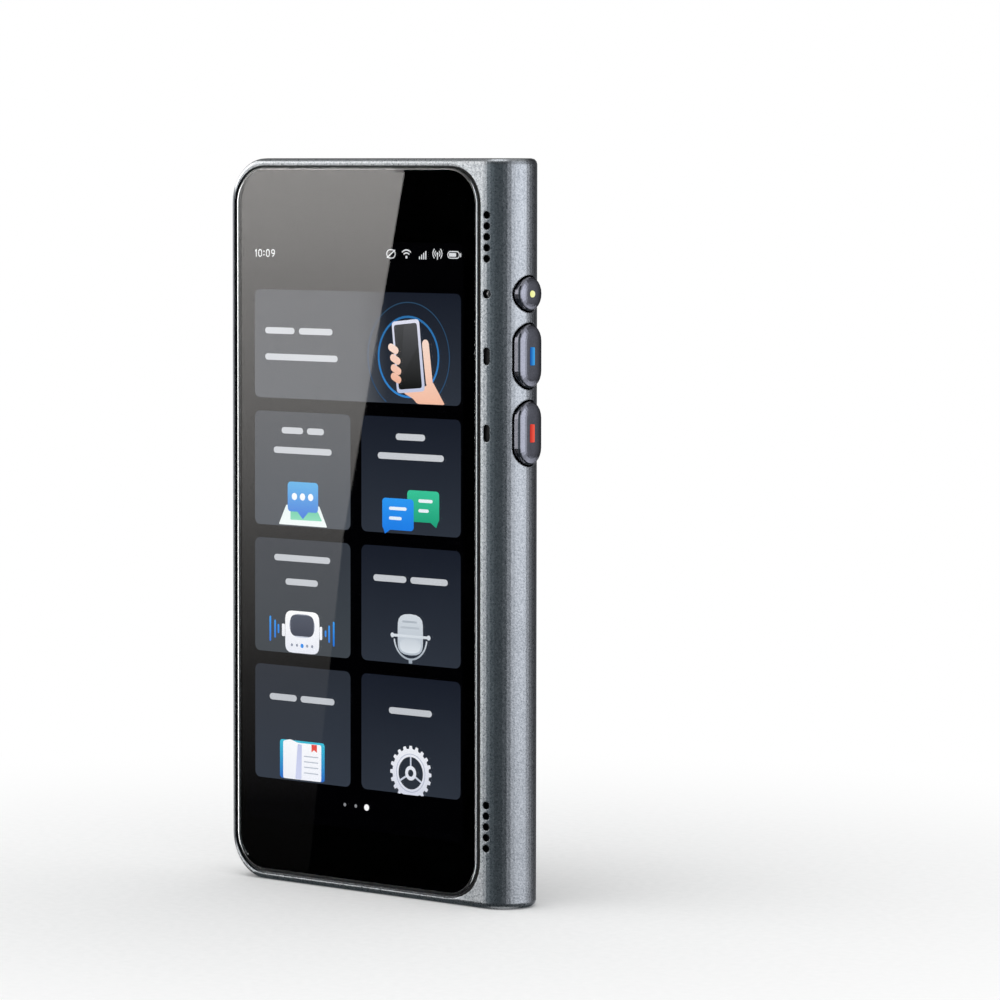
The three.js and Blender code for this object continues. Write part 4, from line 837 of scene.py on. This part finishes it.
lit("gear_groove", 2, "#B9C0D2", "#A9B1C6", [disc(gear["middle"], radius, 40) for radius in gear["groove"]])
spokes = []
for turn in (90, 210, 330):
    along = Vector((math.cos(math.radians(turn)), math.sin(math.radians(turn))))
    start, end = [Vector(gear["middle"]) + along * reach for reach in gear["spoke"]]
    spokes.append(bar(start, end, gear["spokeWidth"]))
lit("gear_hub", 2, "#E9ECF5", "#DCE0EC",
    [disc(gear["middle"], gear["hub"], 28), disc(gear["middle"], gear["bore"], 20)])
lit("gear_spokes", 1, "#C9CFDE", "#C9CFDE", *spokes)

lit("page_dots", 1, "#8E9094", "#86888C", disc((24.16, 13.2), 0.27, 16), disc((26.45, 13.18), 0.27, 16))
lit("page_dot_lit", 1, "#FFFFFF", "#F8F8F8", disc((28.7, 13.15), 0.5, 24))


def grown(low, high, out, corner):
    # the outline of a box as seen from the front, grown by a distance
    return roundedBox(low.x - out, low.z - out, high.x + out, high.z + out, corner, 12)


# The black print on the back of the glass
backPrint = {"inset": 0.02, "corner": 5.78, "gap": 0.004, "thickness": 0.008}
ink = grown(glassLow, glassHigh, -backPrint["inset"], backPrint["corner"])
shape = plates([[ink, onScreen(roundedBox(*screen["window"]))]],
               glassHigh.y + backPrint["gap"], backPrint["thickness"])
finishMesh("glass_print", shape, finishes["black printing ink"], "cover_glass")

# Along the bottom, the right and part of the top the print wets the glass, so that no light runs inside it.
# A corner has 13 points: the strip starts halfway round the bottom left one and ends past the top right one.
edgeInk = {"inset": 0.02, "width": 0.85, "corner": 5.78, "overlap": 0.006, "end": 34.6, "points": 13}
edgeRings = [grown(glassLow, glassHigh, -edgeInk["inset"] - width, edgeInk["corner"] - width)
             for width in (0, edgeInk["width"])]
strip = [outline[edgeInk["points"] * 5 // 2:] + outline[:edgeInk["points"]]
         + [(edgeInk["end"] + screenShift, outline[edgeInk["points"] - 1][1])] for outline in edgeRings]
shape = plates([[strip[0] + strip[1][::-1]]], glassHigh.y - edgeInk["overlap"], edgeInk["overlap"] * 2)
finishMesh("glass_edge_print", shape, finishes["black printing ink"], "cover_glass")
print("screen built")


# Painted shade: dark rings at the bottom of the gaps round the glass and the back panel

gapShades = {
    "glass": {"corner": 5.8, "gap": 0.2, "sunk": 0.3}, "panel": {"corner": 5.2, "gap": 0.23, "sunk": 0.55},
    "clear": 0.01, "behind": 0.08,
}


def gapShadeRing(name, low, high, gapShade, front, back):
    rings = [grown(low, high, out, gapShade["corner"] + out) for out in (gapShade["gap"], gapShades["clear"])]
    finishMesh(name, plates([rings], front, back - front), finishes["dark gap shade"], "moulding")


panelLow, panelHigh = boxOf("back_cover")
gapShadeRing("glass_gap_shade", glassLow, glassHigh, gapShades["glass"],
         glassLow.y + gapShades["glass"]["sunk"], glassHigh.y + gapShades["behind"])
gapShadeRing("panel_gap_shade", panelLow, panelHigh, gapShades["panel"],
         panelLow.y - gapShades["behind"], panelHigh.y - gapShades["panel"]["sunk"])

# A strip along one long side runs out at its ends: its least share of the width, and how fast it gets there
ends = {"least": 0.02, "rate": 2.2}


def longSide(side, corner, turn, steps=9):
    # one long side of the glass and the start of both its corners, as rows of (point, way outward, taper)
    path = []
    middle = glassHigh.x - corner if side > 0 else glassLow.x + corner
    for level, first, last in ((glassLow.z + corner, -turn, 0), (glassHigh.z - corner, 0, turn)):
        for step in range(steps + 1):
            angle = math.radians(first + (last - first) * step / steps)
            outward = (side * math.cos(angle), math.sin(angle))
            taper = max(ends["least"], min(1, ends["rate"] * (1 - abs(math.degrees(angle)) / turn)))
            path.append(((middle + corner * outward[0], level + corner * outward[1]), outward, taper))
    return path


# The rounded edge of the glass catches light along both long sides, as a fine flat bead
bead = {
    "half": 0.17, "rise": 0.045, "sunk": 0.03, "left": 0.38, "right": 0.08, "corner": 5.8, "turn": 42,
    "rings": 9,
}
for name, side in (("left", -1), ("right", 1)):
    path = longSide(side, bead["corner"], bead["turn"])
    vertices, faces, rings, count = [], [], bead["rings"], len(path)
    for ring in range(rings):
        angle = math.radians(180 * ring / (rings - 1))
        for (x, z), (outX, outZ), taper in path:
            reach = bead["half"] * math.cos(angle) * taper - bead[name]
            rise = (bead["rise"] + bead["sunk"]) * math.sin(angle) * taper
            vertices.append((x + reach * outX, glassLow.y + bead["sunk"] - rise, z + reach * outZ))
        here, ahead = ring * count, (ring + 1) % rings * count
        faces += [(here + step, here + step + 1, ahead + step + 1, ahead + step) for step in range(count - 1)]
    faces += [tuple(ring * count + end for ring in range(rings)) for end in (0, count - 1)]
    finishMesh(f"glass_bead_{name}", (vertices, faces), finishes["glass edge painted highlight"], "cover_glass",
               smooth=True)

# Painted shade: a black strip on the frame beside the keys, at the gap by the glass
gapShadeLip = {"inner": 0.24, "outer": 0.64, "least": 0.002, "rise": 0.02, "corner": 5.8, "turn": 80}
width = gapShadeLip["outer"] - gapShadeLip["inner"]
path = longSide(1, gapShadeLip["corner"], gapShadeLip["turn"])
reaches = [gapShadeLip["inner"] + width * taper + gapShadeLip["least"] for _, _, taper in path]
rows = list(zip(path, reaches)) + [(row, gapShadeLip["inner"]) for row in path[::-1]]
outline = [(x + reach * outX, z + reach * outZ) for ((x, z), (outX, outZ), _), reach in rows]
shape = plates([[outline]], boxOf("main_frame")[0].y - gapShadeLip["rise"], gapShadeLip["rise"] * 2)
finishMesh("glass_gap_shade_lip", shape, finishes["black lining of painted shade"], "moulding")

# The frame's rim is a little wider at the top end of the glass than along its sides
lip = {"outer": 0.385, "sides": 0.375, "top": 0.2, "corner": 6.1, "sunk": 0.02, "thickness": 0.4}
rings = [roundedBox(glassLow.x - across, glassLow.z - across, glassHigh.x + across, glassHigh.z + above,
                    lip["corner"], 12)
         for across, above in ((lip["outer"], lip["outer"]), (lip["sides"], lip["top"]))]
shape = plates([rings], boxOf("main_frame")[0].y + lip["sunk"], lip["thickness"])
finishMesh("glass_lip", shape, finishes["blasted anodised aluminium"], "body_aluminium")

# Painted shade: black sleeves keep the walls of the holes and the slots dark
sleeves = {
    "radius": 0.595, "wall": 0.05, "sunk": 0.07, "length": 0.9, "count": 5, "pitch": 1.63, "sides": 20,
    # half the width, half the height and the length
    "wide": {"light_sensor": (0.645, 0.645, 0.3), "upper_microphone": (0.545, 1.32, 0.28),
             "lower_microphone": (0.545, 1.32, 0.28)},
    "straight": 0.001,  # left of the side walls between the round ends
}
columnX = middleOf("light_sensor")[0]
start = glassLow.y + sleeves["sunk"]
end = start + sleeves["length"]
outer, inner = sleeves["radius"], sleeves["radius"] - sleeves["wall"]
levels = [middleOf(name)[2] + (index - (sleeves["count"] - 1) / 2) * sleeves["pitch"]
          for name in ("upper_speaker_mesh", "main_speaker_mesh") for index in range(sleeves["count"])]
for index, level in enumerate(levels):
    shape = turnedBody([(outer, start), (outer, end), (inner, end), (inner, start)],
                       (columnX, level), sleeves["sides"])
    finishMesh(f"hole_sleeve_{index + 1}", shape, finishes["black lining of painted shade"], "moulding")
for name, (across, along, length) in sleeves["wide"].items():
    middle = middleOf(name)[2]
    outline = [roundedBox(columnX - across + wall, middle - along + wall, columnX + across - wall,
                          middle + along - wall, across - wall - sleeves["straight"], 6)
               for wall in (0, sleeves["wall"])]
    shape = plates([outline], start, length)
    finishMesh(f"{name}_sleeve", shape, finishes["black lining of painted shade"], "moulding")

# Camera: a baffle, a bright trim ring and a domed lens behind the window. "outer" and "inner" are radii,
# "flat" and "skirt" go inward from the outer one, "gap" and "deep" are distances from the window, and the
# other levels count from the back of the module.
optics = {
    "baffle": {"outer": 3.2, "inner": 1.95, "gap": 0.06, "deep": 0.2, "flat": 0.35, "skirt": 0.4,
               "edge": (0.12, 0.02)},
    "trim": {"outer": 1.78, "inner": 1.56, "start": -0.05, "end": (0.16, 0.22)},
    "dome": {"outer": 1.5, "inner": 0.01, "start": 0.01, "edge": 0.02, "rise": 0.26,
             "turns": (90, 75, 60, 45, 30, 15)},
}
moduleBack = boxOf("camera_module")[1].y
windowFront = boxOf("camera_window")[0].y
axis = tuple(middleOf("camera_window")[::2])
baffle, trim, dome = optics["baffle"], optics["trim"], optics["dome"]
outer, inner = baffle["outer"], baffle["inner"]
shape = turnedBody([
    (outer, windowFront - baffle["deep"]), (outer, windowFront - baffle["gap"]),
    (outer - baffle["flat"], windowFront - baffle["gap"]), (inner, moduleBack + baffle["edge"][0]),
    (inner, moduleBack + baffle["edge"][1]), (outer - baffle["skirt"], windowFront - baffle["deep"]),
], axis)
finishMesh("lens_baffle", shape, finishes["black anodised aluminium"], "moulding")
outer, inner = trim["outer"], trim["inner"]
start, (outerEnd, innerEnd) = moduleBack + trim["start"], [moduleBack + level for level in trim["end"]]
shape = turnedBody([(outer, start), (outer, outerEnd), (inner, innerEnd), (inner, start)], axis)
finishMesh("lens_trim", shape, finishes["stamped stainless steel"], "steel")

coated, tree = startMaterial("coated optical glass")
# ground and vacuum-coated, so black in the middle with a violet and a blue ring
coating = (
    (0.0, "#050507"), (0.42, "#08090D"), (0.5, "#1B2440"), (0.7, "#33275A"), (0.86, "#121A38"),
    (1.0, "#08090C"),
)
where = addNode(tree, "TexCoord")
away = fromAxis(tree, where.outputs["Object"], axis)
share = addNode(tree, "MapRange", {"Value": away, "From Max": dome["outer"] * mm})
rings = addNode(tree, "ValToRGB", {0: share})
ramp = rings.color_ramp
for place, code in coating[1:-1]:
    ramp.elements.new(place)
for element, (place, code) in zip(ramp.elements, coating):
    element.position, element.color = place, linear(code)
shader = addNode(tree, "BsdfPrincipled", {
    "Base Color": rings, "Roughness": 0.04, "IOR": 1.7, "Specular IOR Level": 0.6})
addNode(tree, "OutputMaterial", {"Surface": shader})
edge = moduleBack + dome["edge"]
profile = [(dome["inner"], moduleBack + dome["start"])] + [
    (dome["outer"] * math.sin(math.radians(turn)), edge + dome["rise"] * math.cos(math.radians(turn)))
    for turn in dome["turns"]] + [(dome["inner"], edge + dome["rise"])]
finishMesh("lens_dome", turnedBody(profile, axis), coated, "lens_glass", smooth=True)

# Charging port: gold pads on both sides of the tongue
pads = {
    "count": 12, "pitch": 0.5, "width": 0.26, "thickness": 0.02, "start": 1.5, "end": 4.6, "corner": 0.06,
    "tongue": 0.35,
}
middleX, middleY, _ = middleOf("usb_c_contacts")
half = pads["width"] / 2
strips = []
for index in range(pads["count"]):
    x = middleX + (index - (pads["count"] - 1) / 2) * pads["pitch"]
    strips.append([roundedBox(x - half, pads["start"], x + half, pads["end"], pads["corner"], 2)])
for side, level in (("front", middleY - pads["tongue"] - pads["thickness"]),
                    ("back", middleY + pads["tongue"])):
    finishMesh(f"usb_pads_{side}", plates(strips, level, pads["thickness"]), finishes["plated gold"], "steel")

# The card's contact pads, seen when the tray is out
chipPads = {
    "aside": 1.2, "columns": (-2.35, 2.35), "rows": 4, "pitch": 1.95, "width": 2.1, "height": 1.65,
    "corner": 0.25, "thickness": 0.015,
}
cardX, _, cardZ = middleOf("sim_card")
halfWidth, halfHeight = chipPads["width"] / 2, chipPads["height"] / 2
squares = []
for shift in chipPads["columns"]:
    for row in range(chipPads["rows"]):
        x = cardX - chipPads["aside"] + shift
        z = cardZ + (row - (chipPads["rows"] - 1) / 2) * chipPads["pitch"]
        squares.append([roundedBox(x - halfWidth, z - halfHeight, x + halfWidth, z + halfHeight,
                                   chipPads["corner"], 3)])
shape = plates(squares, boxOf("sim_card")[1].y, chipPads["thickness"])
finishMesh("card_contacts", shape, finishes["plated gold"], "steel", body="tray")
print("seals, optics and contacts built")
